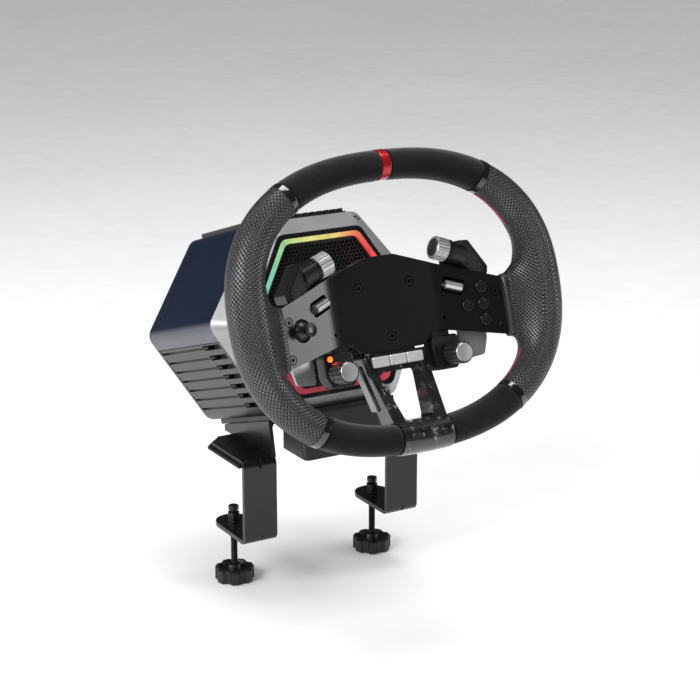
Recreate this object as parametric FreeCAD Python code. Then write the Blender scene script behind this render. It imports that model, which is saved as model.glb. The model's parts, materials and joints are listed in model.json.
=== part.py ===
import FreeCAD, Part
import math
import os

# Racing wheel on a direct-drive base, held on a desk by two screw clamps.  All sizes in millimetres.
# Row frame: X to the driver's right, Y away from the driver, Z up.  The origin is the middle of the
# desk's top front edge.  Wheel and base are drawn in a tilted frame: u to the right, v up along the
# wheel's face, w out of the face towards the driver, with (0, 0, 0) at the centre of the faceplate.

# ---- Steering axis ----
HUB_Y = -94.4
HUB_Z = 158.3
TILT_DEG = 18.0

# ---- Rim ----
RIM_HALF_WIDTH = 138.8
RIM_HALF_TOP = 110.2
RIM_HALF_BOTTOM = 111.8
RIM_ROUNDNESS = 2.4
RIM_W = 22.0
SLIM_RADIAL = 12.3
SLIM_DEPTH = 13.0
GRIP_RADIAL = 15.6
GRIP_DEPTH = 17.0
CORE_R = 7.0
RING_DEG = 45.0
RING_HALF_LENGTH = 2.6
RING_PROUD = 0.5
BAND_HALF_LENGTH = 3.9
BAND_PROUD = 0.25
SLEEVE_PROUD = 1.0
SLEEVE_HALF_WIDTH = 23.5
SECTIONS_PER_QUARTER = 6
MIN_STEPS = 2
PROBE_DEG = 0.05

# ---- Faceplate ----
PLATE_T = 3.5
BEND_U = 51.5
BEND_R = 40.0
WING_DEG = 14.4
PLATE_END_U = 108.0
PLATE_TOP_HALF = 12.8
PLATE_TOP_V = 38.4
SHOULDER_U = 43.5
SHOULDER_V = 28.2
END_TOP_V = 5.5
END_BOTTOM_V = -43.0
NOTCH_U = 48.0
NOTCH_INNER_U = 38.5
NOTCH_V = -29.4
CHIN_U = 28.0
CHIN_V = -39.7
PLATE_CORNER_R = 5.0
SHEET_END_U = 128.0
CLEAR_FRONT = 30.0
HUB_SCREW_RADIUS = 28.2
HUB_SCREW_START_DEG = 30.0
HUB_SCREW_COUNT = 3
SCREW_HEAD_R = 3.5
SCREW_RECESS_R = 4.2
SCREW_RECESS_DEPTH = 2.0
SCREW_SHANK_R = 2.0
SCREW_SOCKET_R = 1.5
SCREW_SOCKET_DEPTH = 1.4
END_SCREW_DEPTH = 7.0
HUB_THREAD_DEPTH = 8.0
PIN_HOLE_U = 52.1
PIN_HOLE_V = -20.4
PIN_HOLE_R = 1.4
END_SCREW_UPPER = (98.2, -4.7)
END_SCREW_LOWER = (100.0, -34.5)

# ---- Leather boots that join the grips to the plate ends ----
BOOT_START_U = 104.5
BOOT_STEPS = ((0.0, 0.0, 0.0), (7.0, 2.0, 1.5), (15.0, 9.0, 5.0), (25.0, 24.0, 9.0))
BOOT_HALF_V = 26.0
BOOT_CENTRE_V = -18.0
BOOT_HALF_W = 6.6
BOOT_CENTRE_W = 11.6
BOOT_W_RISE = 0.30
BOOT_ROUNDNESS = 4.0
BOOT_POINTS = 24

# ---- Rear housing of the wheel, paddles and their pivots ----
HOUSING_INSET = 4.0
HOUSING_DEPTH = 10.5
HOUSING_WALL = 1.3
HOUSING_END_U = 95.2
TAB_START_U = 95.5
TAB_LENGTH = 32.0
TAB_HALF_V = 19.0
TAB_T = 5.0
CAN_R = 38.0
CAN_BACK_W = -26.0
CAN_FLOOR_W = -22.0
HUB_GAP = 0.3
PADDLE_FRONT = 14.8
PADDLE_T = 3.0
PADDLE_TOP_U = 78.0
PADDLE_TIP_U = 94.0
PADDLE_INNER_U = 70.5
PADDLE_SHOULDER_V = -8.0
PADDLE_HEEL_V = -42.0
PADDLE_FOOT_V = -56.0
PADDLE_NECK_V = -33.0
PADDLE_CUT = 4.0
PADDLE_CORNER_R = 3.0
PIVOT_U = 48.0
PIVOT_W = -19.0
PIVOT_R = 1.5
PIVOT_BARREL_R = 3.4
PIVOT_TOP_V = 8.0
PIVOT_BOTTOM_V = -17.0
LUG_T = 4.0
LUG_HALF_WIDTH = 5.0
LUG_GAP = 0.4
RUNNING_GAP = 0.05

# ---- Round buttons, thumb stick and toggles on the wings ----
BUTTON_R = 4.9
BUTTON_HOLE_R = 5.15
BUTTON_PROUD = 1.9
BUTTON_FLANGE_R = 5.4
BUTTON_FLANGE_T = 1.2
BUTTON_DEPTH = 5.4
BUTTON_EDGE_R = 0.8
BUTTON_FLANGE_GAP = 0.3
BUTTON_DISH_R = 18.0
BUTTON_DISH_DEPTH = 0.35
BUTTON_SPOTS = ((87.0, 0.8), (87.0, -13.3), (87.0, -26.9), (73.6, -13.3))
STICK_SPOT = (85.6, -12.8)
STICK_HOLE_R = 9.6
STICK_CAP_R = 5.2
STICK_NECK_R = 2.4
STICK_HEIGHT = 9.5
STICK_BALL_R = 9.0
STICK_SHELL_T = 1.6
STICK_CUT = 3.0
STICK_PIVOT_DEPTH = 3.5
STICK_CAP_T = 3.4
STICK_CAP_DROP = 2.0
STICK_CAP_EDGE_R = 1.0
STICK_DISH_R = 12.0
STICK_DISH_DEPTH = 0.7
SPIGOT_R = 1.4
GIMBAL_R = 4.6
GIMBAL_BORE_R = 3.1
GIMBAL_T = 2.6
GIMBAL_PIN_R = 0.8
GIMBAL_PIN_REACH = 6.0
TOGGLE_SPOT = (63.5, 4.7)
TOGGLE_TURN_DEG = -20.0
TOGGLE_LENGTH = 14.6
TOGGLE_WIDTH = 7.8
TOGGLE_PROUD = 5.2
TOGGLE_SLOT_LENGTH = 19.0
TOGGLE_SLOT_WIDTH = 13.0
TOGGLE_SLOT_CORNER_R = 2.0
TOGGLE_RIDGE_SHARE = 0.72
TOGGLE_CROWN = 1.2
TOGGLE_EDGE_R = 0.8
TOGGLE_WEB_HALF = 1.2
TOGGLE_AXLE_R = 1.5
TOGGLE_AXLE_DEPTH = 5.3
TOGGLE_AXLE_HALF = 11.0

# ---- Upper pods with knurled knobs ----
KNOB_U = 55.6
KNOB_V = 37.0
KNOB_W = 2.6
KNOB_RISE_DEG = 20.0
KNOB_R = 9.8
KNOB_LENGTH = 12.0
KNOB_RIBS = 22
KNOB_RIB_R = 0.95
KNOB_CHAMFER = 0.8
KNOB_LIP = 2.2
KNOB_RECESS = 0.8
COLLAR_R = 9.0
COLLAR_LENGTH = 16.0
KNOB_GAP = 0.5
KNOB_SHAFT_R = 3.0
STEM_LENGTH = 8.0
POD_W_BACK = -10.5
POD_W_FRONT = 9.0
POD_CORNER_R = 3.0
POD_OUTLINE = ((66.0, 27.5), (69.5, 41.5), (81.0, 41.0), (96.5, 17.0), (95.0, 9.5), (84.0, 11.5))
POD_ARM = ((62.0, 9.5), (88.0, 30.0))
POD_ARM_T = 8.0

# ---- Lower pods with thumb encoders ----
ENCODER_U = 54.9
ENCODER_V = -50.8
ENCODER_FRONT_W = 18.7
ENCODER_R = 9.3
ENCODER_LENGTH = 19.0
ENCODER_RIBS = 16
ENCODER_RIB_R = 1.45
ENCODER_CHAMFER = 0.7
LOWER_POD_U = (38.0, 64.5)
LOWER_POD_V = (-63.0, -34.5)
LOWER_POD_W = (-16.0, -1.8)
LOWER_POD_CUT = (4.0, 9.0)
LOWER_POD_CORNER_R = 4.0
LOWER_POD_EDGE_R = 1.5
LOWER_POD_TIE_U = (40.0, 56.5)
TIE_OVERLAP = 2.0
LENS_U = -59.5
LENS_V = -39.0
LENS_R = 2.3
LENS_SEAT = 2.0
LENS_PROUD = 0.8
LENS_EDGE_R = 0.7

# ---- Lower spoke frame and its three keys ----
SPOKE_TOP_U = 30.5
SPOKE_TOP_V = -41.0
SPOKE_BOTTOM_U = 23.5
SPOKE_END_V = -116.0
SPOKE_KNEE_V = -56.0
SPOKE_KNEE_W = 3.5
WINDOW_TOP_U = 20.5
WINDOW_TOP_V = -56.5
WINDOW_BOTTOM_U = 13.5
WINDOW_BOTTOM_V = -97.0
SPOKE_FRONT_TOP_W = 1.5
SPOKE_FRONT_BOTTOM_W = 34.0
SPOKE_BACK_TOP_W = -18.0
SPOKE_BACK_BOTTOM_W = 12.0
SPOKE_CORNER_R = 3.0
TONGUE_HALF_U = 22.0
KEY_INDEXES = (-1, 0, 1)
KEY_WIDTH = 15.4
KEY_PITCH = 16.2
KEY_HEIGHT = 8.6
KEY_V = -47.6
KEY_PROUD = 2.6
KEY_DEPTH = 7.0
KEY_TRAVEL = 1.0
KEY_GAP = 0.4
KEY_CORNER_R = 1.0
KEY_CHAMFER = 0.7
KEY_LIFT = 0.8
TRIM_T = 2.0
TRIM_SPAN = (8.0, 46.0)
TRIM_TOP_W = (-17.0, -9.0)
TRIM_BOTTOM_W = (-3.0, 7.0)
TRIM_CORNER_R = 2.0

# ---- Hub, quick release and shaft ----
HUB_FLANGE_R = 34.0
HUB_FLANGE_T = 6.0
HUB_BOSS_R = 24.0
HUB_BACK_W = -62.0
RELEASE_RING_R = 30.0
RELEASE_RING_W = (-58.0, -42.0)
RELEASE_RIBS = 24
RELEASE_RIB_R = 1.6
RELEASE_CHAMFER = 1.5
SHAFT_R = 12.0
SHAFT_COLLAR_R = 26.0
COLLAR_CHAMFER = 2.0
SHAFT_FRONT_W = -12.0
SHAFT_COLLAR_W = (-88.0, -62.0)
SHAFT_BACK_W = -238.0

# ---- Base ----
BODY_HEX = (50.0, 84.5, 108.5, 3.0, 61.0, -81.0)
BODY_TOP_U, BODY_TOP_V, BODY_SIDE_U, BODY_SIDE_V, BODY_BOTTOM_U, BODY_BOTTOM_V = BODY_HEX
BODY_CORNER_R = 12.0
FACE_CORNER_R = 8.0
SHRINK_FLAT = 0.6
SHRINK_POINT = 1.15
FACE_HEX = (40.5, 71.0, 82.5, -1.5, 49.0, -71.0)
BEZEL_HEX = (37.5, 66.2, 78.0, -1.5, 44.5, -66.4)
GLOW_HEX = (35.0, 62.2, 73.8, -1.5, 40.5, -62.4)
FACE_W = -94.0
FACE_SET_BACK = 1.0
BODY_FRONT_W = -116.0
BODY_BACK_W = -248.0
REAR_W = -256.0
BEZEL_DEPTH = 8.0
BEZEL_LIP = 0.6
GLOW_DEPTH = 5.0
GLOW_PROUD = 0.5
GRILLE_DROP = 2.5
GRILLE_T = 2.0
GRILLE_FRAME = 2.6
HONEY_PITCH = 3.7
HONEY_WALL = 0.75
SHAFT_TUBE_R = 33.0
SHAFT_TUBE_WALL = 3.0
PANEL_T = 2.5
PANEL_BOTTOM_V = -11.0
PANEL_TOP_U = 44.0
PANEL_SEAM = 0.6
FIN_GROOVE = 2.0
FIN_GROOVE_DEPTH = 4.0
FIN_SLOT_DEPTH = 9.0
FIN_MARGIN = 4.0
FIN_COUNT = 7
FIN_PITCH = 9.1
FIN_FIRST_V = -15.0
FIN_SLOT_HEIGHT = 4.4
FIN_END_RISE = 4.4
FIN_END_LENGTH = 1.6
FIN_SLOT_LENGTH = 34.0
MOTOR_R = 56.0
ROTOR_R = 43.4
AIR_GAP = 0.6
MOTOR_W = (-206.0, -132.0)
BEARING_R = 21.0
BEARING_LENGTH = 10.0
BEARING_INSET = 2.0
END_WALL = 12.0
CASTING_WALL = 10.5
MOTOR_SLEEVE_T = 3.5
BOARD_ROOM_HALF_U = 38.0
BOARD_ROOM_V = (57.0, 78.0)
BOARD_HALF_U = 34.0
BOARD_V = 66.0
BOARD_T = 1.6
BOARD_W = (-224.0, -138.0)
CHIPS = ((-20.0, -150.0, 12.0), (8.0, -160.0, 14.0), (-6.0, -190.0, 9.0), (18.0, -205.0, 10.0))
CHIP_T = 2.0
CAPACITOR_U = -24.0
CAPACITOR_W = (-175.0, -218.0)
CAPACITOR_R = 5.0
CAPACITOR_T = 8.0
VENT_HALF_WIDTH = 42.0
VENT_HEIGHT = 4.0
VENT_FINS = 12
VENT_FIN_SHARE = 0.55
VENT_FLOOR = 1.2
VENT_BACK_GAP = 6.0
VENT_FRONT_GAP = 2.0
BASE_PLATE_T = 4.5
BASE_PLATE_HALF = 55.0
BASE_PLATE_CORNER_R = 6.0
BASE_PLATE_W = (-240.0, -104.0)
RIG_HOLE_PCD = 64.0
RIG_HOLE_R = 3.0
RIG_HOLE_COUNT = 4
RIG_HOLE_W = -186.0
RIG_HOLE_START_DEG = 45.0
RIG_HOLE_DEPTH = 8.0
PANEL_SCREW_R = 3.0
PANEL_SCREW_T = 0.9
PANEL_SCREW_SEAT = 1.0
PANEL_SCREW_SOCKET_R = 1.4
PANEL_SCREW_SHARES = (0.16, 0.83)
PANEL_SCREW_INSET = 12.0
FOOT_HALF_WIDTH = 40.0
FOOT_FRONT_W = -104.0
FOOT_BACK_W = -140.0
FOOT_BOTTOM_Z = 6.0
FOOT_CORNER_R = 5.0

# ---- Sockets in the rear cover ----
SOCKET_V = -38.0
SOCKET_SIZES = ((-42.0, 12.0, 12.0), (-22.0, 12.0, 12.0), (0.0, 9.4, 3.6), (20.0, 12.0, 8.0))
INLET_U = 42.0
INLET_R = 5.0
INLET_PIN_R = 1.0
INLET_PIN_LENGTH = 7.0
SOCKET_WALL = 1.0
SOCKET_CORNER_R = 0.8
SOCKET_SET_IN = 0.4
REAR_BEVEL = 4.0
REAR_SLOTS = 9
REAR_SLOT_PITCH = 8.0
REAR_SLOT_HALF = 1.5
REAR_SLOT_V = (10.0, 44.0)
REAR_SLOT_FLOOR = 2.0

# ---- Desk clamps ----
CLAMP_X = 72.0
CLAMP_WIDTH = 32.0
STEEL_T = 4.0
CLAMP_FRONT_Y = -5.0
PLATE_BACK_Y = 68.0
PAD_T = 2.5
PAD_MARGIN = 3.0
CORNER_CUT = 12.0
WEB_T = 3.5
WEB_BACK_Y = 88.0
WEB_SET_BACK = 8.0
WEB_DROP = 3.0
FLANGE_T = 3.5
FLANGE_WIDTH = 16.0
FLANGE_W = (-220.0, -132.0)
FLANGE_BOLT_R = 4.0
FLANGE_BOLT_T = 2.4
FLANGE_BOLT_W = (-205.0, -150.0)
JAW_Z = -71.0
SCREW_Y = 48.0
THREAD_R = 2.95
THREAD_ROOT_R = 2.55
THREAD_PITCH = 1.0
THREAD_TOP_Z = -57.0
THREAD_BOTTOM_Z = -108.0
CREST_SHARES = (0.45, 0.55)
BALL_R = 1.9
BALL_RISE = 1.2
NUT_ACROSS = 10.0
NUT_HEIGHT = 7.5
PRESS_FOOT_R = 4.6
PRESS_FOOT_T = 4.0
PRESS_FOOT_GAP = 0.1
PRESS_FOOT_EDGE_R = 0.8
STAR_R = 17.5
STAR_LOBES = 7
STAR_NOTCH_R = 5.0
STAR_NOTCH_RADIUS = 20.0
STAR_TOP_Z = -111.0
STAR_HEIGHT = 13.0
STAR_NECK_R = 7.0
STAR_NECK_TAPER = 1.5
STAR_START_DEG = 12.0
STAR_CHAMFER = 1.2
STAR_DISH_R = (12.0, 14.0)
STAR_DISH_T = 2.5
STAR_NECK_HEIGHT = 5.0
BEND_OUTER_R = 7.0
NOTCH_T = 1.3
NOTCH_LENGTH = 10.0

BIG = 400.0
THROUGH = 8.0
OVERLAP = 1.0
TINY = 1e-4
CORNER_SHARE = 0.45
HALF = 0.5
HEX_RATIO = math.sqrt(3.0)
QUARTER_DEG = 90.0
HALF_TURN_DEG = 180.0
FULL_TURN_DEG = 360.0
HEX_SIDES = 6

ORIGIN = FreeCAD.Vector(0, 0, 0)
X_AXIS = FreeCAD.Vector(1, 0, 0)
Y_AXIS = FreeCAD.Vector(0, 1, 0)
Z_AXIS = FreeCAD.Vector(0, 0, 1)
TILTED = FreeCAD.Placement(FreeCAD.Vector(0, HUB_Y, HUB_Z),
                           FreeCAD.Rotation(X_AXIS, QUARTER_DEG - TILT_DEG))


# ---------------------------------------------------------------- general helpers
def vec(x, y, z=0.0):
    return FreeCAD.Vector(x, y, z)


def box(low, high):
    size = [high[i] - low[i] for i in range(len(low))]
    return Part.makeBox(size[0], size[1], size[2], vec(*low))


def rod(radius, start, end):
    line = vec(*end) - vec(*start)
    return Part.makeCylinder(radius, line.Length, vec(*start), line)


def corner_points(points, index, radius):
    here = vec(*points[index])
    before = vec(*points[index - 1]) - here
    after = vec(*points[(index + 1) % len(points)]) - here
    half_angle = before.getAngle(after) * HALF
    longest = CORNER_SHARE * min(before.Length, after.Length)
    reach = min(radius / math.tan(half_angle), longest)
    actual = reach * math.tan(half_angle)
    before.normalize()
    after.normalize()
    middle = before + after
    middle.normalize()
    centre_distance = actual / math.sin(half_angle)
    apex = here + middle * (centre_distance - actual)
    return here + before * reach, apex, here + after * reach


def rounded_wire(points, radius):
    corners = [corner_points(points, i, radius) for i in range(len(points))]
    edges = []
    for i, corner in enumerate(corners):
        edges.append(Part.Arc(corner[0], corner[1], corner[2]).toShape())
        following = corners[(i + 1) % len(corners)]
        if (following[0] - corner[2]).Length > TINY:
            edges.append(Part.makeLine(corner[2], following[0]))
    return Part.Wire(edges)


def flat_wire(points):
    return Part.makePolygon([vec(*p) for p in points] + [vec(*points[0])])


def prism(points, low, high, radius=0.0):
    wire = rounded_wire(points, radius) if radius else flat_wire(points)
    shape = Part.Face(wire).extrude(vec(0, 0, high - low))
    shape.translate(vec(0, 0, low))
    return shape


def side_prism(points, low_x, high_x, radius=0.0):
    shape = prism(points, low_x, high_x, radius)
    turn = FreeCAD.Placement(ORIGIN, FreeCAD.Rotation(Y_AXIS, Z_AXIS, X_AXIS, "ZXY"))
    shape.Placement = turn.multiply(shape.Placement)
    return shape


def mirror_points(points):
    return list(points) + [(-x, y) for x, y in reversed(points)]


def mirrored(shape):
    return shape.mirror(ORIGIN, X_AXIS)


def on_side(shape, side):
    return shape if side > 0 else mirrored(shape)


def both_sides(shape):
    return Part.makeCompound([shape, mirrored(shape)])


def fused(shapes):
    whole = shapes[0].multiFuse(shapes[1:])
    return whole.removeSplitter()


def largest(shape):
    return max(shape.Solids, key=lambda solid: solid.Volume)


def tilted(shape):
    moved = shape.copy()
    moved.Placement = TILTED.multiply(moved.Placement)
    return moved


def rim_edges(shape):
    return [e for e in shape.Edges if len(e.Vertexes) == 1]


def ring_spots(count, radius, start_deg=0.0):
    angles = [math.radians(start_deg + FULL_TURN_DEG * i / count) for i in range(count)]
    return [(radius * math.cos(a), radius * math.sin(a)) for a in angles]


def grooved(radius, length, ribs, rib_r, chamfer):
    blank = Part.makeCylinder(radius, length)
    blank = blank.makeChamfer(chamfer, rim_edges(blank))
    cutters = []
    for x, y in ring_spots(ribs, radius + rib_r * HALF):
        cutters.append(Part.makeCylinder(rib_r, length, vec(x, y)))
    return blank.cut(Part.makeCompound(cutters))


def aim(shape, position, direction):
    moved = shape.copy()
    turn = FreeCAD.Placement(vec(*position), FreeCAD.Rotation(Z_AXIS, vec(*direction)))
    moved.Placement = turn.multiply(moved.Placement)
    return moved


def save(shape, node):
    shape.exportStep("parts/" + node + ".step")


# ---------------------------------------------------------------- rim
def rim_point(deg):
    angle = math.radians(deg)
    half_height = RIM_HALF_TOP if math.sin(angle) > 0 else RIM_HALF_BOTTOM
    across = abs(math.cos(angle) / RIM_HALF_WIDTH) ** RIM_ROUNDNESS
    up = abs(math.sin(angle) / half_height) ** RIM_ROUNDNESS
    radius = (across + up) ** (-1.0 / RIM_ROUNDNESS)
    return vec(radius * math.cos(angle), radius * math.sin(angle), RIM_W)


def rim_section(deg, radial, depth):
    here = rim_point(deg)
    along = rim_point(deg + PROBE_DEG) - rim_point(deg - PROBE_DEG)
    along.normalize()
    outward = along.cross(Z_AXIS)
    if depth > radial:
        oval = Part.Ellipse(ORIGIN, depth, radial)
    else:
        oval = Part.Circle(ORIGIN, Z_AXIS, radial)
    wire = Part.Wire([oval.toShape()])
    wire.Placement = FreeCAD.Placement(here, FreeCAD.Rotation(Z_AXIS, outward * -1.0, along, "ZXY"))
    return wire


def rim_sizes(deg, proud):
    fullness = (abs(rim_point(deg).x) / RIM_HALF_WIDTH) ** 2
    radial = SLIM_RADIAL + (GRIP_RADIAL - SLIM_RADIAL) * fullness + proud
    depth = SLIM_DEPTH + (GRIP_DEPTH - SLIM_DEPTH) * fullness + proud
    return radial, depth


def section_angles(start_deg, end_deg):
    quarters = abs(end_deg - start_deg) / QUARTER_DEG
    steps = max(MIN_STEPS, int(SECTIONS_PER_QUARTER * quarters) + 1)
    return [start_deg + (end_deg - start_deg) * i / steps for i in range(steps + 1)]


def rim_tube(start_deg, end_deg, proud=0.0):
    wires = [rim_section(a, *rim_sizes(a, proud)) for a in section_angles(start_deg, end_deg)]
    return Part.makeLoft(wires, True, False)


def core_tube(start_deg, end_deg):
    wires = [rim_section(a, CORE_R, CORE_R) for a in section_angles(start_deg, end_deg)]
    return Part.makeLoft(wires, True, False)


def rim_core_ring():
    return core_tube(0.0, HALF_TURN_DEG).fuse(core_tube(HALF_TURN_DEG, FULL_TURN_DEG))


def length_to_deg(deg, length):
    per_deg = (rim_point(deg + HALF) - rim_point(deg - HALF)).Length
    return length / per_deg


def end_tab():
    tab = box((0.0, -TAB_HALF_V, -PLATE_T - TAB_T), (TAB_LENGTH, TAB_HALF_V, -PLATE_T))
    return on_wing(tab, TAB_START_U, BOOT_CENTRE_V)


def rim_core(ring):
    tab = end_tab()
    for u, v in (END_SCREW_UPPER, END_SCREW_LOWER):
        shank = Part.makeCylinder(SCREW_SHANK_R, END_SCREW_DEPTH, vec(0, 0, -END_SCREW_DEPTH))
        tab = tab.cut(on_wing(shank, u, v))
    return fused([ring, tab, mirrored(tab)])


def boot_section(step_u, grow_v, grow_w):
    centre = vec(BOOT_START_U + step_u, BOOT_CENTRE_V, BOOT_CENTRE_W + BOOT_W_RISE * step_u)
    points = []
    for i in range(BOOT_POINTS):
        angle = 2.0 * math.pi * i / BOOT_POINTS
        c = math.cos(angle)
        s = math.sin(angle)
        power = 2.0 / BOOT_ROUNDNESS
        v = math.copysign(abs(c) ** power, c) * (BOOT_HALF_V + grow_v)
        w = math.copysign(abs(s) ** power, s) * (BOOT_HALF_W + grow_w)
        points.append(centre + vec(0, v, w))
    curve = Part.BSplineCurve()
    curve.interpolate(points, PeriodicFlag=True)
    return Part.Wire([curve.toShape()])


def boot():
    return Part.makeLoft([boot_section(*s) for s in BOOT_STEPS], True, False)


def leather_grip(ring, hardware):
    gap_deg = length_to_deg(RING_DEG, RING_HALF_LENGTH)
    tube = rim_tube(-RING_DEG + gap_deg, RING_DEG - gap_deg)
    return largest(tube.fuse(boot()).cut(ring.fuse(hardware)))


def suede_top(ring):
    gap_deg = length_to_deg(RING_DEG, RING_HALF_LENGTH)
    band_deg = length_to_deg(QUARTER_DEG, BAND_HALF_LENGTH)
    tube = rim_tube(RING_DEG + gap_deg, QUARTER_DEG - band_deg).cut(ring)
    return both_sides(tube)


def suede_bottom(ring):
    gap_deg = length_to_deg(RING_DEG, RING_HALF_LENGTH)
    stop_deg = math.degrees(math.atan2(SLEEVE_HALF_WIDTH, RIM_HALF_BOTTOM))
    tube = rim_tube(-QUARTER_DEG + stop_deg, -RING_DEG - gap_deg).cut(ring)
    return both_sides(tube)


def joint_rings(ring):
    gap_deg = length_to_deg(RING_DEG, RING_HALF_LENGTH)
    upper = rim_tube(RING_DEG - gap_deg, RING_DEG + gap_deg, RING_PROUD).cut(ring)
    lower = rim_tube(-RING_DEG - gap_deg, -RING_DEG + gap_deg, RING_PROUD).cut(ring)
    return Part.makeCompound([upper, lower, mirrored(upper), mirrored(lower)])


def centre_band(ring):
    band_deg = length_to_deg(QUARTER_DEG, BAND_HALF_LENGTH)
    return rim_tube(QUARTER_DEG - band_deg, QUARTER_DEG + band_deg, BAND_PROUD).cut(ring)


# ---------------------------------------------------------------- faceplate and wings
def bend_start():
    return BEND_U - BEND_R * math.tan(math.radians(WING_DEG) * HALF)


def wing_w(u):
    return max(0.0, u - BEND_U) * math.tan(math.radians(WING_DEG))


def surface_points(depth, end_u):
    angle = math.radians(WING_DEG)
    start = bend_start()
    radius = BEND_R + depth
    arc_mid = vec(start + radius * math.sin(angle * HALF), BEND_R - radius * math.cos(angle * HALF))
    arc_end = vec(start + radius * math.sin(angle), BEND_R - radius * math.cos(angle))
    end_w = arc_end.y + (end_u - arc_end.x) * math.tan(angle)
    return vec(start, -depth), arc_mid, arc_end, vec(end_u, end_w)


def bent_sheet(front_depth, back_depth):
    f0, f1, f2, f3 = surface_points(front_depth, SHEET_END_U)
    b0, b1, b2, b3 = surface_points(back_depth, SHEET_END_U)
    edges = [Part.makeLine(vec(0, -front_depth), f0)]
    edges.append(Part.Arc(f0, f1, f2).toShape())
    edges.append(Part.makeLine(f2, f3))
    edges.append(Part.makeLine(f3, b3))
    edges.append(Part.makeLine(b3, b2))
    edges.append(Part.Arc(b2, b1, b0).toShape())
    edges.append(Part.makeLine(b0, vec(0, -back_depth)))
    edges.append(Part.makeLine(vec(0, -back_depth), vec(0, -front_depth)))
    half = Part.Face(Part.Wire(edges)).extrude(vec(0, 0, BIG))
    half.translate(vec(0, 0, -BIG * HALF))
    upright = FreeCAD.Placement(ORIGIN, FreeCAD.Rotation(X_AXIS, QUARTER_DEG))
    half.Placement = upright.multiply(half.Placement)
    return half.fuse(mirrored(half)).removeSplitter()


def on_wing(shape, u, v, turn_deg=0.0):
    turn = FreeCAD.Rotation(Y_AXIS, -WING_DEG).multiply(FreeCAD.Rotation(Z_AXIS, turn_deg))
    moved = shape.copy()
    moved.Placement = FreeCAD.Placement(vec(u, v, wing_w(u)), turn).multiply(moved.Placement)
    return moved


def between(u, start, end):
    return start[1] + (end[1] - start[1]) * (u - start[0]) / (end[0] - start[0])


def plate_outline(inset=0.0, end_u=PLATE_END_U):
    top_v = between(end_u, (SHOULDER_U, SHOULDER_V), (PLATE_END_U, END_TOP_V))
    bottom_v = between(end_u, (NOTCH_U, NOTCH_V), (PLATE_END_U, END_BOTTOM_V))
    right = [(PLATE_TOP_HALF - inset * HALF, PLATE_TOP_V - inset), (SHOULDER_U, SHOULDER_V - inset),
             (end_u, top_v - inset), (end_u, bottom_v + inset),
             (NOTCH_U, NOTCH_V + inset), (NOTCH_INNER_U, NOTCH_V + inset),
             (CHIN_U - inset * HALF, CHIN_V + inset)]
    return mirror_points(right)


def hub_screw_spots():
    return ring_spots(HUB_SCREW_COUNT, HUB_SCREW_RADIUS, HUB_SCREW_START_DEG)


def screw_recess():
    recess = Part.makeCylinder(SCREW_RECESS_R, SCREW_RECESS_DEPTH, vec(0, 0, -SCREW_RECESS_DEPTH))
    return recess.fuse(through_hole(SCREW_SHANK_R))


def through_hole(radius):
    return Part.makeCylinder(radius, 2.0 * THROUGH, vec(0, 0, -THROUGH))


def rectangle(half_width, half_height):
    return [(-half_width, -half_height), (half_width, -half_height),
            (half_width, half_height), (-half_width, half_height)]


def toggle_slot():
    outline = rectangle(TOGGLE_SLOT_LENGTH * HALF, TOGGLE_SLOT_WIDTH * HALF)
    return prism(outline, -2.0 * PLATE_T, PLATE_T, TOGGLE_SLOT_CORNER_R)


def wing_cutters(side):
    cutters = [on_wing(toggle_slot(), TOGGLE_SPOT[0], TOGGLE_SPOT[1], TOGGLE_TURN_DEG)]
    for u, v in (END_SCREW_UPPER, END_SCREW_LOWER):
        cutters.append(on_wing(screw_recess(), u, v))
    cutters.append(on_wing(through_hole(PIN_HOLE_R), PIN_HOLE_U, PIN_HOLE_V))
    if side > 0:
        cutters += [on_wing(through_hole(BUTTON_HOLE_R), u, v) for u, v in BUTTON_SPOTS]
    else:
        cutters.append(on_wing(through_hole(STICK_HOLE_R), STICK_SPOT[0], STICK_SPOT[1]))
    return on_side(Part.makeCompound(cutters), side)


def plate_blank(front_depth, back_depth):
    outline = prism(plate_outline(), -BIG * HALF, BIG * HALF, PLATE_CORNER_R)
    return bent_sheet(front_depth, back_depth).common(outline)


def faceplate():
    plate = plate_blank(0.0, PLATE_T).cut(wing_cutters(1)).cut(wing_cutters(-1))
    for x, y in hub_screw_spots():
        recess = screw_recess()
        recess.translate(vec(x, y, 0))
        plate = plate.cut(recess)
    return plate


def cap_screw(length):
    head = Part.makeCylinder(SCREW_HEAD_R, SCREW_RECESS_DEPTH, vec(0, 0, -SCREW_RECESS_DEPTH))
    socket = prism(ring_spots(HEX_SIDES, SCREW_SOCKET_R), -SCREW_SOCKET_DEPTH, OVERLAP)
    shank = Part.makeCylinder(SCREW_SHANK_R, length, vec(0, 0, -SCREW_RECESS_DEPTH - length))
    return head.cut(socket).fuse(shank)


def plate_screws():
    screws = []
    for x, y in hub_screw_spots():
        screw = cap_screw(HUB_FLANGE_T)
        screw.translate(vec(x, y, 0))
        screws.append(screw)
    for u, v in (END_SCREW_UPPER, END_SCREW_LOWER):
        screw = on_wing(cap_screw(PLATE_T), u, v)
        screws += [screw, mirrored(screw)]
    return Part.makeCompound(screws)


# ---------------------------------------------------------------- rear housing, paddles
def hinge_lug(v_low, v_high):
    return box((PIVOT_U - LUG_HALF_WIDTH, v_low, PIVOT_W - PIVOT_BARREL_R),
               (PIVOT_U + LUG_HALF_WIDTH, v_high, -HOUSING_DEPTH + HOUSING_WALL))


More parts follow.
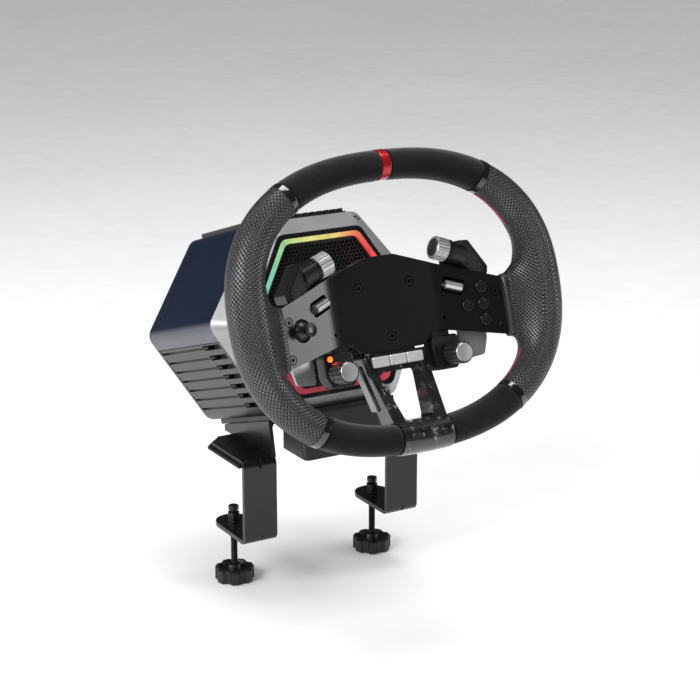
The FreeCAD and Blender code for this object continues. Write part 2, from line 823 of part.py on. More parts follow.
def hinge_lugs():
    lugs = [hinge_lug(PIVOT_TOP_V + LUG_GAP, PIVOT_TOP_V + LUG_GAP + LUG_T)]
    lugs.append(hinge_lug(PIVOT_BOTTOM_V - LUG_GAP - LUG_T, PIVOT_BOTTOM_V - LUG_GAP))
    pin_bottom = (PIVOT_U, PIVOT_BOTTOM_V - OVERLAP, PIVOT_W)
    pin_top = (PIVOT_U, PIVOT_TOP_V + OVERLAP, PIVOT_W)
    lugs.append(rod(PIVOT_R, pin_bottom, pin_top))
    return lugs


def rear_housing():
    outline = plate_outline(HOUSING_INSET, HOUSING_END_U)
    outer = bent_sheet(PLATE_T, HOUSING_DEPTH).common(prism(outline, -BIG, BIG, PLATE_CORNER_R))
    inner_outline = plate_outline(HOUSING_INSET + HOUSING_WALL, HOUSING_END_U - HOUSING_WALL)
    inner_prism = prism(inner_outline, -BIG * HALF, BIG * HALF, PLATE_CORNER_R)
    inner = bent_sheet(PLATE_T, HOUSING_DEPTH - HOUSING_WALL).common(inner_prism)
    can = Part.makeCylinder(CAN_R, -CAN_BACK_W - HOUSING_DEPTH, vec(0, 0, CAN_BACK_W))
    shell = outer.fuse(can).cut(inner)
    shell = shell.cut(Part.makeCylinder(HUB_FLANGE_R + HUB_GAP, -CAN_FLOOR_W, vec(0, 0, CAN_FLOOR_W)))
    shell = shell.cut(Part.makeCylinder(HUB_BOSS_R + HUB_GAP, BIG, vec(0, 0, -BIG)))
    lugs = hinge_lugs()
    return fused([shell] + lugs + [mirrored(s) for s in lugs])


def paddle():
    root_u = PIVOT_U + OVERLAP
    lug_end = PIVOT_U + LUG_HALF_WIDTH + 2.0 * LUG_GAP
    blade_points = [(root_u, PIVOT_TOP_V - LUG_GAP), (PADDLE_TOP_U, PIVOT_TOP_V - LUG_GAP),
                    (PADDLE_TIP_U, PADDLE_SHOULDER_V), (PADDLE_TIP_U, PADDLE_HEEL_V),
                    (PADDLE_TIP_U - PADDLE_CUT, PADDLE_FOOT_V),
                    (PADDLE_INNER_U, PADDLE_FOOT_V - PADDLE_CUT * HALF),
                    (PADDLE_INNER_U, PADDLE_NECK_V), (lug_end, PIVOT_BOTTOM_V + LUG_GAP),
                    (root_u, PIVOT_BOTTOM_V + LUG_GAP)]
    sheet = bent_sheet(PADDLE_FRONT, PADDLE_FRONT + PADDLE_T)
    blade = sheet.common(prism(blade_points, -BIG * HALF, BIG * HALF, PADDLE_CORNER_R))
    barrel = rod(PIVOT_BARREL_R, (PIVOT_U, PIVOT_BOTTOM_V, PIVOT_W), (PIVOT_U, PIVOT_TOP_V, PIVOT_W))
    whole = blade.fuse(barrel)
    pin = rod(PIVOT_R + RUNNING_GAP, (PIVOT_U, -BIG, PIVOT_W), (PIVOT_U, BIG, PIVOT_W))
    return whole.cut(pin)


# ---------------------------------------------------------------- controls on the wings
def round_button():
    cap = Part.makeCylinder(BUTTON_R, BUTTON_PROUD + BUTTON_DEPTH, vec(0, 0, -BUTTON_DEPTH))
    top = [e for e in rim_edges(cap) if e.BoundBox.ZMin > 0]
    cap = cap.makeFillet(BUTTON_EDGE_R, top)
    flange_low = -PLATE_T - BUTTON_FLANGE_GAP - BUTTON_FLANGE_T
    flange = Part.makeCylinder(BUTTON_FLANGE_R, BUTTON_FLANGE_T, vec(0, 0, flange_low))
    dish = Part.makeSphere(BUTTON_DISH_R, vec(0, 0, BUTTON_PROUD + BUTTON_DISH_R - BUTTON_DISH_DEPTH))
    return cap.fuse(flange).cut(dish)


def thumb_stick():
    ball = Part.makeSphere(STICK_BALL_R, vec(0, 0, -STICK_PIVOT_DEPTH))
    upper = Part.makeCylinder(STICK_BALL_R + OVERLAP, BIG, vec(0, 0, -STICK_PIVOT_DEPTH + STICK_CUT))
    ball = ball.common(upper)
    hollow = Part.makeSphere(STICK_BALL_R - STICK_SHELL_T, vec(0, 0, -STICK_PIVOT_DEPTH))
    dome = ball.cut(hollow)
    neck_low = STICK_BALL_R - STICK_PIVOT_DEPTH - STICK_SHELL_T
    neck = Part.makeCylinder(STICK_NECK_R, STICK_HEIGHT - neck_low, vec(0, 0, neck_low))
    cap = Part.makeCylinder(STICK_CAP_R, STICK_CAP_T, vec(0, 0, STICK_HEIGHT - STICK_CAP_DROP))
    cap = cap.makeFillet(STICK_CAP_EDGE_R, rim_edges(cap))
    cap_top = STICK_HEIGHT - STICK_CAP_DROP + STICK_CAP_T
    dish = Part.makeSphere(STICK_DISH_R, vec(0, 0, cap_top + STICK_DISH_R - STICK_DISH_DEPTH))
    spigot_low = -STICK_PIVOT_DEPTH - OVERLAP
    spigot = Part.makeCylinder(SPIGOT_R, neck_low + OVERLAP - spigot_low, vec(0, 0, spigot_low))
    return fused([dome, neck, cap, spigot]).cut(dish)


def stick_gimbal():
    low = vec(0, 0, -STICK_PIVOT_DEPTH - GIMBAL_T * HALF)
    ring = Part.makeCylinder(GIMBAL_R, GIMBAL_T, low)
    level = -STICK_PIVOT_DEPTH
    across = rod(GIMBAL_PIN_R, (-GIMBAL_PIN_REACH, 0, level), (GIMBAL_PIN_REACH, 0, level))
    upright = rod(GIMBAL_PIN_R, (0, -GIMBAL_PIN_REACH, level), (0, GIMBAL_PIN_REACH, level))
    frame = fused([ring, across, upright])
    return frame.cut(Part.makeCylinder(GIMBAL_BORE_R, GIMBAL_T, low))


def toggle_lever():
    half_l = TOGGLE_LENGTH * HALF
    half_w = TOGGLE_WIDTH * HALF
    ridge_w = half_w * TOGGLE_RIDGE_SHARE
    ridge_h = TOGGLE_PROUD - TOGGLE_CROWN
    points = [(-half_w, -OVERLAP), (half_w, -OVERLAP), (ridge_w, ridge_h), (0.0, TOGGLE_PROUD),
              (-ridge_w, ridge_h)]
    lever = side_prism(points, -half_l, half_l, TOGGLE_EDGE_R)
    axle_start = (-TOGGLE_AXLE_HALF, 0, -TOGGLE_AXLE_DEPTH)
    axle_end = (TOGGLE_AXLE_HALF, 0, -TOGGLE_AXLE_DEPTH)
    web_end = half_l - OVERLAP
    web = box((-web_end, -TOGGLE_WEB_HALF, -TOGGLE_AXLE_DEPTH), (web_end, TOGGLE_WEB_HALF, 0.0))
    return fused([lever, rod(TOGGLE_AXLE_R, axle_start, axle_end), web])


# ---------------------------------------------------------------- upper pods
def knob_axis():
    rise = math.radians(KNOB_RISE_DEG)
    return vec(-math.cos(rise), math.sin(rise), 0.0)


def along_knob(distance):
    return vec(KNOB_U, KNOB_V, KNOB_W) + knob_axis() * distance


def upper_knob():
    body = grooved(KNOB_R, KNOB_LENGTH, KNOB_RIBS, KNOB_RIB_R, KNOB_CHAMFER)
    recess = Part.makeCylinder(KNOB_R - KNOB_LIP, KNOB_RECESS, vec(0, 0, KNOB_LENGTH - KNOB_RECESS))
    body = body.cut(recess)
    stem = Part.makeCylinder(KNOB_SHAFT_R, STEM_LENGTH, vec(0, 0, -STEM_LENGTH))
    return aim(fused([body, stem]), along_knob(-KNOB_LENGTH * HALF), knob_axis())


def upper_pod():
    start = along_knob(-KNOB_LENGTH * HALF - KNOB_GAP)
    collar = aim(Part.makeCylinder(COLLAR_R, COLLAR_LENGTH), start, knob_axis() * -1.0)
    body = prism(POD_OUTLINE, POD_W_BACK, POD_W_FRONT, POD_CORNER_R)
    arm_low, arm_high = POD_ARM
    arm = box(arm_low + (POD_W_BACK,), arm_high + (POD_W_BACK + POD_ARM_T,))
    pod = fused([collar, body, arm]).cut(plate_blank(-CLEAR_FRONT, HOUSING_DEPTH))
    bore = Part.makeCylinder(KNOB_SHAFT_R + RUNNING_GAP, STEM_LENGTH + OVERLAP)
    return pod.cut(aim(bore, along_knob(-KNOB_LENGTH * HALF), knob_axis() * -1.0))


# ---------------------------------------------------------------- lower pods
def thumb_encoder():
    wheel = grooved(ENCODER_R, ENCODER_LENGTH, ENCODER_RIBS, ENCODER_RIB_R, ENCODER_CHAMFER)
    wheel.translate(vec(ENCODER_U, ENCODER_V, ENCODER_FRONT_W - ENCODER_LENGTH))
    stem_start = ENCODER_FRONT_W - ENCODER_LENGTH - STEM_LENGTH
    stem = Part.makeCylinder(KNOB_SHAFT_R, STEM_LENGTH + OVERLAP, vec(ENCODER_U, ENCODER_V, stem_start))
    return fused([wheel, stem])


def lower_pod():
    low = (LOWER_POD_U[0], LOWER_POD_V[0])
    high = (LOWER_POD_U[1], LOWER_POD_V[1])
    cut_u, cut_v = LOWER_POD_CUT
    points = [low, (high[0] - cut_u, low[1]), (high[0], low[1] + cut_v), high, (low[0], high[1])]
    body = prism(points, LOWER_POD_W[0], LOWER_POD_W[1], LOWER_POD_CORNER_R)
    flat_edges = [e for e in body.Edges if e.BoundBox.ZLength < TINY]
    front_edges = [e for e in flat_edges if e.BoundBox.ZMin > LOWER_POD_W[1] - TINY]
    body = body.makeFillet(LOWER_POD_EDGE_R, front_edges)
    tie_low, tie_high = LOWER_POD_TIE_U
    tie = box((tie_low, LOWER_POD_V[1] - TIE_OVERLAP, -HOUSING_DEPTH),
              (tie_high, NOTCH_V + HOUSING_INSET, -PLATE_T))
    body = fused([body, tie]).cut(rear_housing_solid())
    stem_start = ENCODER_FRONT_W - ENCODER_LENGTH - STEM_LENGTH - HALF
    bore = Part.makeCylinder(KNOB_SHAFT_R + RUNNING_GAP, BIG, vec(ENCODER_U, ENCODER_V, stem_start))
    return body.cut(bore)


def rear_housing_solid():
    outline = plate_outline(HOUSING_INSET, HOUSING_END_U)
    sheet = bent_sheet(0.0, HOUSING_DEPTH)
    return sheet.common(prism(outline, -BIG * HALF, BIG * HALF, PLATE_CORNER_R))


def lens_seat():
    return Part.makeCylinder(LENS_R, LENS_SEAT, vec(LENS_U, LENS_V, LOWER_POD_W[1] - LENS_SEAT))


def lower_pods():
    right = lower_pod()
    left = mirrored(right).cut(lens_seat())
    return Part.makeCompound([left, right])


def indicator_lens():
    low = vec(LENS_U, LENS_V, LOWER_POD_W[1] - LENS_SEAT)
    lens = Part.makeCylinder(LENS_R, LENS_SEAT + LENS_PROUD, low)
    top = [e for e in rim_edges(lens) if e.BoundBox.ZMin > LOWER_POD_W[1]]
    return lens.makeFillet(LENS_EDGE_R, top)


# ---------------------------------------------------------------- lower spoke
def spoke_side_profile():
    return [(SPOKE_TOP_V, SPOKE_FRONT_TOP_W), (SPOKE_TOP_V, SPOKE_BACK_TOP_W),
            (SPOKE_END_V, SPOKE_BACK_BOTTOM_W), (SPOKE_END_V, SPOKE_FRONT_BOTTOM_W),
            (SPOKE_KNEE_V, SPOKE_KNEE_W)]


def trapezoid(top_u, top_v, bottom_u, bottom_v):
    return [(-bottom_u, bottom_v), (bottom_u, bottom_v), (top_u, top_v), (-top_u, top_v)]


def key_blank(margin):
    outline = rectangle(KEY_WIDTH * HALF + margin, KEY_HEIGHT * HALF + margin)
    depth = KEY_DEPTH + KEY_TRAVEL + KEY_GAP if margin else KEY_DEPTH
    return prism(outline, -depth, KEY_PROUD, KEY_CORNER_R)


def place_key(shape, index):
    moved = shape.copy()
    moved.translate(vec(index * KEY_PITCH, KEY_V, SPOKE_FRONT_TOP_W + KEY_LIFT))
    return moved


def spoke_key(index):
    key = key_blank(0.0)
    top = [e for e in key.Edges if e.BoundBox.ZMin > KEY_PROUD - TINY]
    key = key.makeChamfer(KEY_CHAMFER, top)
    return place_key(key, index)


def spoke_frame(ring):
    outline = trapezoid(SPOKE_TOP_U, SPOKE_TOP_V, SPOKE_BOTTOM_U, SPOKE_END_V)
    block = prism(outline, -BIG * HALF, BIG * HALF, SPOKE_CORNER_R)
    block = block.common(side_prism(spoke_side_profile(), -BIG * HALF, BIG * HALF))
    window = prism(trapezoid(WINDOW_TOP_U, WINDOW_TOP_V, WINDOW_BOTTOM_U, WINDOW_BOTTOM_V),
                   -BIG * HALF, BIG * HALF, SPOKE_CORNER_R)
    stop_deg = math.degrees(math.atan2(SLEEVE_HALF_WIDTH, RIM_HALF_BOTTOM))
    sleeve = rim_tube(-QUARTER_DEG - stop_deg, -QUARTER_DEG + stop_deg, SLEEVE_PROUD)
    tongue = box((-TONGUE_HALF_U, SPOKE_TOP_V - TIE_OVERLAP, -HOUSING_DEPTH),
                 (TONGUE_HALF_U, CHIN_V + HOUSING_INSET, -PLATE_T))
    frame = block.cut(window).fuse([sleeve, tongue])
    for index in KEY_INDEXES:
        frame = frame.cut(place_key(key_blank(KEY_GAP), index))
    return frame.cut([ring, suede_bottom(ring), plate_blank(0.0, PLATE_T)])


def spoke_trim():
    slope = (SPOKE_TOP_U - SPOKE_BOTTOM_U) / (SPOKE_TOP_V - SPOKE_END_V)
    start, end = TRIM_SPAN
    top_v = SPOKE_TOP_V - start
    bottom_v = SPOKE_TOP_V - end
    top_u = SPOKE_TOP_U - slope * start
    bottom_u = SPOKE_TOP_U - slope * end
    outline = [(top_u, top_v), (bottom_u, bottom_v), (bottom_u + TRIM_T, bottom_v), (top_u + TRIM_T, top_v)]
    slab = prism(outline, -BIG * HALF, BIG * HALF)
    shape = [(top_v + OVERLAP, TRIM_TOP_W[1]), (top_v + OVERLAP, TRIM_TOP_W[0]),
             (bottom_v - OVERLAP, TRIM_BOTTOM_W[0]), (bottom_v - OVERLAP, TRIM_BOTTOM_W[1])]
    return slab.common(side_prism(shape, -BIG * HALF, BIG * HALF, TRIM_CORNER_R))


# ---------------------------------------------------------------- hub and quick release
def wheel_hub():
    flange = Part.makeCylinder(HUB_FLANGE_R, HUB_FLANGE_T, vec(0, 0, -PLATE_T - HUB_FLANGE_T))
    boss = Part.makeCylinder(HUB_BOSS_R, -HUB_BACK_W - PLATE_T, vec(0, 0, HUB_BACK_W))
    hub = flange.fuse(boss)
    hub = hub.cut(Part.makeCylinder(SHAFT_R, BIG, vec(0, 0, -BIG + SHAFT_FRONT_W)))
    for x, y in hub_screw_spots():
        start = vec(x, y, -PLATE_T - HUB_THREAD_DEPTH)
        hub = hub.cut(Part.makeCylinder(SCREW_SHANK_R, HUB_THREAD_DEPTH, start))
    return hub


def quick_release_ring():
    low, high = RELEASE_RING_W
    ring = grooved(RELEASE_RING_R, high - low, RELEASE_RIBS, RELEASE_RIB_R, RELEASE_CHAMFER)
    ring.translate(vec(0, 0, low))
    return ring.cut(Part.makeCylinder(HUB_BOSS_R + RUNNING_GAP, BIG, vec(0, 0, -BIG * HALF)))


def steering_shaft():
    bar = Part.makeCylinder(SHAFT_R, SHAFT_FRONT_W - SHAFT_BACK_W, vec(0, 0, SHAFT_BACK_W))
    low, high = SHAFT_COLLAR_W
    collar = Part.makeCylinder(SHAFT_COLLAR_R, high - low, vec(0, 0, low))
    return bar.fuse(collar.makeChamfer(COLLAR_CHAMFER, rim_edges(collar)))


def motor_rotor():
    low, high = MOTOR_W
    outer = Part.makeCylinder(ROTOR_R, high - low, vec(0, 0, low))
    return outer.cut(Part.makeCylinder(SHAFT_R, high - low, vec(0, 0, low)))


# ---------------------------------------------------------------- base
def hex_points(sizes):
    top_u, top_v, side_u, side_v, bottom_u, bottom_v = sizes
    return [(-bottom_u, bottom_v), (bottom_u, bottom_v), (side_u, side_v), (top_u, top_v),
            (-top_u, top_v), (-side_u, side_v)]


def hex_wire(sizes, radius, w):
    wire = rounded_wire(hex_points(sizes), radius)
    wire.translate(vec(0, 0, w))
    return wire


def hex_prism(sizes, radius, low, high):
    return prism(hex_points(sizes), low, high, radius)


def shrink(sizes, amount):
    top_u, top_v, side_u, side_v, bottom_u, bottom_v = sizes
    return (top_u - amount * SHRINK_FLAT, top_v - amount, side_u - amount * SHRINK_POINT, side_v,
            bottom_u - amount * SHRINK_FLAT, bottom_v + amount)


def front_cover():
    bevel = Part.makeLoft([hex_wire(BODY_HEX, BODY_CORNER_R, BODY_FRONT_W),
                           hex_wire(FACE_HEX, FACE_CORNER_R, FACE_W - FACE_SET_BACK)], True, True)
    inner = hex_prism(shrink(BEZEL_HEX, FACE_SET_BACK), FACE_CORNER_R, BODY_FRONT_W, FACE_W)
    seat = hex_prism(shrink(FACE_HEX, BEZEL_LIP), FACE_CORNER_R, FACE_W - BEZEL_DEPTH, FACE_W)
    return bevel.cut(seat).cut(inner)


def bezel_ring():
    outer = hex_prism(shrink(FACE_HEX, BEZEL_LIP), FACE_CORNER_R, FACE_W - BEZEL_DEPTH, FACE_W)
    return outer.cut(hex_prism(BEZEL_HEX, FACE_CORNER_R, FACE_W - BEZEL_DEPTH, FACE_W))


def led_ring():
    high = FACE_W + GLOW_PROUD
    outer = hex_prism(BEZEL_HEX, FACE_CORNER_R, FACE_W - GLOW_DEPTH, high)
    return outer.cut(hex_prism(GLOW_HEX, FACE_CORNER_R, FACE_W - GLOW_DEPTH, high))


def honey_holes(inside, margin_r):
    holes = []
    row_step = HONEY_PITCH * HEX_RATIO * HALF
    rows = int(GLOW_HEX[1] / row_step) + 1
    columns = int(GLOW_HEX[2] / HONEY_PITCH) + 1
    cell_r = (HONEY_PITCH - HONEY_WALL) / HEX_RATIO
    for row in range(-rows, rows + 1):
        shift = HONEY_PITCH * HALF * (row % 2)
        for column in range(-columns, columns + 1):
            centre = vec(column * HONEY_PITCH + shift, row * row_step)
            if centre.Length < margin_r:
                continue
            if inside_hex(centre, inside):
                spots = ring_spots(HEX_SIDES, cell_r, QUARTER_DEG)
                holes.append(flat_wire([(centre.x + x, centre.y + y) for x, y in spots]))
    return holes


def inside_hex(point, sizes):
    top_u, top_v, side_u, side_v, bottom_u, bottom_v = sizes
    if point.y > top_v or point.y < bottom_v:
        return False
    if point.y > side_v:
        limit = side_u + (top_u - side_u) * (point.y - side_v) / (top_v - side_v)
    else:
        limit = side_u + (bottom_u - side_u) * (point.y - side_v) / (bottom_v - side_v)
    return abs(point.x) < limit


def front_grille():
    outer = rounded_wire(hex_points(GLOW_HEX), FACE_CORNER_R)
    centre = Part.Wire([Part.Circle(ORIGIN, Z_AXIS, SHAFT_TUBE_R).toShape()])
    holes = honey_holes(shrink(GLOW_HEX, GRILLE_FRAME), SHAFT_TUBE_R + GRILLE_FRAME)
    face = Part.Face([outer, centre] + holes)
    panel = face.extrude(vec(0, 0, GRILLE_T))
    panel.translate(vec(0, 0, FACE_W - GRILLE_DROP - GRILLE_T))
    return panel


def body_prism(low, high):
    return hex_prism(BODY_HEX, BODY_CORNER_R, low, high)


def inner_body_prism(low, high):
    return hex_prism(shrink(BODY_HEX, PANEL_T), BODY_CORNER_R, low, high)


def below(v):
    return box((-BIG, -BIG, -BIG), (BIG, v, BIG))


def side_edge_u(v):
    side_u, side_v = BODY_SIDE_U, BODY_SIDE_V
    bottom_u, bottom_v = BODY_BOTTOM_U, BODY_BOTTOM_V
    return side_u + (bottom_u - side_u) * (v - side_v) / (bottom_v - side_v)


def fin_cutters():
    cutters = []
    front_w = BODY_FRONT_W - FIN_MARGIN
    for i in range(FIN_COUNT):
        v = FIN_FIRST_V - i * FIN_PITCH
        u = side_edge_u(v)
        groove = box((u - FIN_GROOVE_DEPTH, v - FIN_GROOVE * HALF, BODY_BACK_W + FIN_MARGIN),
                     (u + THROUGH, v + FIN_GROOVE * HALF, front_w))
        slot = box((u - FIN_SLOT_DEPTH, v - FIN_SLOT_HEIGHT * HALF, front_w - FIN_SLOT_LENGTH),
                   (u + THROUGH, v + FIN_SLOT_HEIGHT * HALF, front_w))
        end = box((u - FIN_GROOVE_DEPTH, v, BODY_BACK_W + FIN_MARGIN),
                  (u + THROUGH, v + FIN_END_RISE, BODY_BACK_W + FIN_MARGIN + FIN_END_LENGTH))
        cutters += [groove, slot, end]
    return both_sides(Part.makeCompound(cutters))


def base_housing():
    whole = body_prism(BODY_BACK_W, BODY_FRONT_W)
    core = inner_body_prism(BODY_BACK_W, BODY_FRONT_W)
    strip_u = PANEL_TOP_U - PANEL_SEAM
    top_strip = whole.common(box((-strip_u, 0, -BIG), (strip_u, BIG, BIG)))
    housing = fused([whole.common(below(PANEL_BOTTOM_V - PANEL_SEAM)), core, top_strip])
    bore_low = BODY_BACK_W + END_WALL
    bore_high = BODY_FRONT_W - END_WALL
    room = hex_prism(shrink(BODY_HEX, CASTING_WALL), BODY_CORNER_R, bore_low, bore_high)
    sleeve = Part.makeCylinder(MOTOR_R + MOTOR_SLEEVE_T, bore_high - bore_low, vec(0, 0, bore_low))
    housing = housing.cut(room.cut(sleeve))
    housing = housing.cut(Part.makeCylinder(MOTOR_R, bore_high - bore_low, vec(0, 0, bore_low)))
    housing = housing.cut(Part.makeCylinder(BEARING_R, BIG, vec(0, 0, -BIG))).fuse(shaft_tube())
    room_low = (-BOARD_ROOM_HALF_U, BOARD_ROOM_V[0], bore_low)
    room_high = (BOARD_ROOM_HALF_U, BOARD_ROOM_V[1], bore_high)
    housing = housing.cut(box(room_low, room_high))
    return housing.cut(fin_cutters())


def side_panel():
    shell = body_prism(BODY_BACK_W, BODY_FRONT_W).cut(inner_body_prism(BODY_BACK_W, BODY_FRONT_W))
    keep = box((PANEL_TOP_U, PANEL_BOTTOM_V, -BIG), (BIG, BIG, BIG))
    panel = shell.common(keep)
    for centre in panel_screw_spots():
        seat = Part.makeCylinder(PANEL_SCREW_R, THROUGH, vec(0, 0, -PANEL_SCREW_SEAT))
        panel = panel.cut(aim(seat, centre, panel_normal()))
    return panel


def panel_normal():
    along = vec(BODY_SIDE_U - BODY_TOP_U, BODY_SIDE_V - BODY_TOP_V)
    normal = vec(-along.y, along.x)
    normal.normalize()
    return normal


def panel_screw_spots():
    top = vec(BODY_TOP_U, BODY_TOP_V)
    side = vec(BODY_SIDE_U, BODY_SIDE_V)
    spots = []
    for share in PANEL_SCREW_SHARES:
        spot = top + (side - top) * share
        for w in (BODY_BACK_W + PANEL_SCREW_INSET, BODY_FRONT_W - PANEL_SCREW_INSET):
            spots.append(vec(spot.x, spot.y, w))
    return spots


def base_screws():
    screws = []
    for centre in panel_screw_spots():
        head = Part.makeCylinder(PANEL_SCREW_R, PANEL_SCREW_T, vec(0, 0, -PANEL_SCREW_SEAT))
        socket = prism(ring_spots(HEX_SIDES, PANEL_SCREW_SOCKET_R), -PANEL_SCREW_T, THROUGH)
        screws.append(aim(head.cut(socket), centre, panel_normal()))
    bolt_v = BODY_BOTTOM_V - BASE_PLATE_T - FLANGE_T - FLANGE_BOLT_T
    bolt_u = CLAMP_X - CLAMP_WIDTH * HALF - (FLANGE_WIDTH - WEB_T) * HALF
    for w in FLANGE_BOLT_W:
        head = Part.makeCylinder(FLANGE_BOLT_R, FLANGE_BOLT_T)
        head = head.cut(prism(ring_spots(HEX_SIDES, FLANGE_BOLT_R * HALF), -OVERLAP, FLANGE_BOLT_T * HALF))
        screws.append(aim(head, (bolt_u, bolt_v, w), Y_AXIS))
    return both_sides(Part.makeCompound(screws))


def top_vent():
    top_v = BODY_TOP_V
    low = (-VENT_HALF_WIDTH, top_v, BODY_BACK_W + VENT_BACK_GAP)
    high = (VENT_HALF_WIDTH, top_v + VENT_FLOOR, BODY_FRONT_W - VENT_FRONT_GAP)
    strips = [box(low, high)]
    pitch = 2.0 * VENT_HALF_WIDTH / VENT_FINS
    for i in range(VENT_FINS):
        left = -VENT_HALF_WIDTH + i * pitch
        fin_high = (left + pitch * VENT_FIN_SHARE, top_v + VENT_HEIGHT, high[2])
        strips.append(box((left, top_v, low[2]), fin_high))
    return fused(strips)


def shaft_bearings():
    front_low = BODY_FRONT_W - BEARING_LENGTH
    rear_low = BODY_BACK_W + BEARING_INSET
    rings = []
    for low in (front_low, rear_low):
        ring = Part.makeCylinder(BEARING_R, BEARING_LENGTH, vec(0, 0, low))
        ring = ring.cut(Part.makeCylinder(SHAFT_R + RUNNING_GAP, BEARING_LENGTH, vec(0, 0, low)))
        rings.append(ring)
    return Part.makeCompound(rings)


def motor_stator():
    low, high = MOTOR_W
    outer = Part.makeCylinder(MOTOR_R, high - low, vec(0, 0, low))
    return outer.cut(Part.makeCylinder(ROTOR_R + AIR_GAP, high - low, vec(0, 0, low)))


def control_board():
    top_v = BOARD_V + BOARD_T
    board = box((-BOARD_HALF_U, BOARD_V, BOARD_W[0]), (BOARD_HALF_U, top_v, BOARD_W[1]))
    chips = [box((u, top_v, w), (u + size, top_v + CHIP_T, w + size)) for u, w, size in CHIPS]
    for w in CAPACITOR_W:
        chips.append(Part.makeCylinder(CAPACITOR_R, CAPACITOR_T, vec(CAPACITOR_U, top_v, w), Y_AXIS))
    return fused([board] + chips)


def shaft_tube():
    outer = Part.makeCylinder(SHAFT_TUBE_R, FACE_W - BODY_FRONT_W, vec(0, 0, BODY_FRONT_W))
    return outer.cut(Part.makeCylinder(SHAFT_TUBE_R - SHAFT_TUBE_WALL, BIG, vec(0, 0, -BIG)))


def socket_box(spec, margin, low, high):
    u, width, height = spec
    block = prism(rectangle(width * HALF + margin, height * HALF + margin), low, high, SOCKET_CORNER_R)
    block.translate(vec(u, SOCKET_V, 0))
    return block


def rear_cover():
    rear_hex = shrink(BODY_HEX, REAR_BEVEL)
    cover = Part.makeLoft([hex_wire(BODY_HEX, BODY_CORNER_R, BODY_BACK_W),
                           hex_wire(rear_hex, BODY_CORNER_R, REAR_W)], True, True)
    for spec in SOCKET_SIZES:
        cover = cover.cut(socket_box(spec, SOCKET_WALL, REAR_W - OVERLAP, BODY_BACK_W))
    cover = cover.cut(Part.makeCylinder(INLET_R + SOCKET_WALL, BIG, vec(INLET_U, SOCKET_V, -BIG)))
    slots = []
    for i in range(REAR_SLOTS):
        u = REAR_SLOT_PITCH * (i - (REAR_SLOTS - 1) * HALF)
        low = (u - REAR_SLOT_HALF, REAR_SLOT_V[0], REAR_W - OVERLAP)
        slots.append(box(low, (u + REAR_SLOT_HALF, REAR_SLOT_V[1], BODY_BACK_W - REAR_SLOT_FLOOR)))
    return cover.cut(Part.makeCompound(slots))


def rear_sockets():
    shells = []
    mouth = REAR_W + SOCKET_SET_IN
    for spec in SOCKET_SIZES:
        outer = socket_box(spec, SOCKET_WALL, mouth, BODY_BACK_W)
        shells.append(outer.cut(socket_box(spec, 0.0, REAR_W - OVERLAP, BODY_BACK_W - SOCKET_WALL)))
    start = vec(INLET_U, SOCKET_V, mouth)
    inlet = Part.makeCylinder(INLET_R + SOCKET_WALL, BODY_BACK_W - mouth, start)
    inlet = inlet.cut(Part.makeCylinder(INLET_R, BODY_BACK_W - mouth - SOCKET_WALL, start))
    pin_start = vec(INLET_U, SOCKET_V, BODY_BACK_W - INLET_PIN_LENGTH)
    pin = Part.makeCylinder(INLET_PIN_R, INLET_PIN_LENGTH, pin_start)
    shells.append(inlet.fuse(pin))
    return Part.makeCompound(shells)


def base_plate():
    bottom_v = BODY_BOTTOM_V
    plate = box((-BASE_PLATE_HALF, bottom_v - BASE_PLATE_T, BASE_PLATE_W[0]),
                (BASE_PLATE_HALF, bottom_v, BASE_PLATE_W[1]))
    upright = [e for e in plate.Edges if abs(e.BoundBox.YLength - BASE_PLATE_T) < TINY]
    return plate.makeFillet(BASE_PLATE_CORNER_R, upright)


def rig_holes():
    holes = []
    bottom_v = BODY_BOTTOM_V
    for x, z in ring_spots(RIG_HOLE_COUNT, RIG_HOLE_PCD * HALF, RIG_HOLE_START_DEG):
        start = vec(x, bottom_v - BASE_PLATE_T, RIG_HOLE_W + z)
        holes.append(Part.makeCylinder(RIG_HOLE_R, BASE_PLATE_T + RIG_HOLE_DEPTH, start, Y_AXIS))
    return Part.makeCompound(holes)


def foot_cover():
    under_v = BODY_BOTTOM_V - BASE_PLATE_T
    top_front = TILTED.multVec(vec(0, under_v, FOOT_FRONT_W))
    top_back = TILTED.multVec(vec(0, under_v, FOOT_BACK_W))
    slant = (top_front.z - FOOT_BOTTOM_Z) * math.tan(math.radians(TILT_DEG)) * HALF
    points = [(top_front.y, top_front.z), (top_front.y - slant, FOOT_BOTTOM_Z),
              (top_back.y, FOOT_BOTTOM_Z), (top_back.y, top_back.z)]
    foot = side_prism(points, -FOOT_HALF_WIDTH, FOOT_HALF_WIDTH)
    front_y = top_front.y + OVERLAP
    corners = [e for e in foot.Edges if e.BoundBox.XLength < TINY and e.BoundBox.YMax < front_y]
    return foot.makeFillet(FOOT_CORNER_R, corners)


# ---------------------------------------------------------------- desk clamps (row frame)
def clamp_profile():
    top = PAD_T + STEEL_T
    front = CLAMP_FRONT_Y
    jaw_end = SCREW_Y + CLAMP_WIDTH * HALF
    return [(PLATE_BACK_Y, top), (front, top), (front, JAW_Z), (jaw_end, JAW_Z),
            (jaw_end, JAW_Z + STEEL_T), (front + STEEL_T, JAW_Z + STEEL_T),
            (front + STEEL_T, PAD_T), (PLATE_BACK_Y, PAD_T)]


def bent_clamp_strip():
    low_x = CLAMP_X - CLAMP_WIDTH * HALF
    high_x = CLAMP_X + CLAMP_WIDTH * HALF
    strip = side_prism(clamp_profile(), low_x, high_x)
    crosswise = [e for e in strip.Edges if e.BoundBox.XLength > CLAMP_WIDTH - TINY]
    bends = [e for e in crosswise if e.BoundBox.YMin < CLAMP_FRONT_Y + TINY]
    return strip.makeFillet(BEND_OUTER_R, bends)


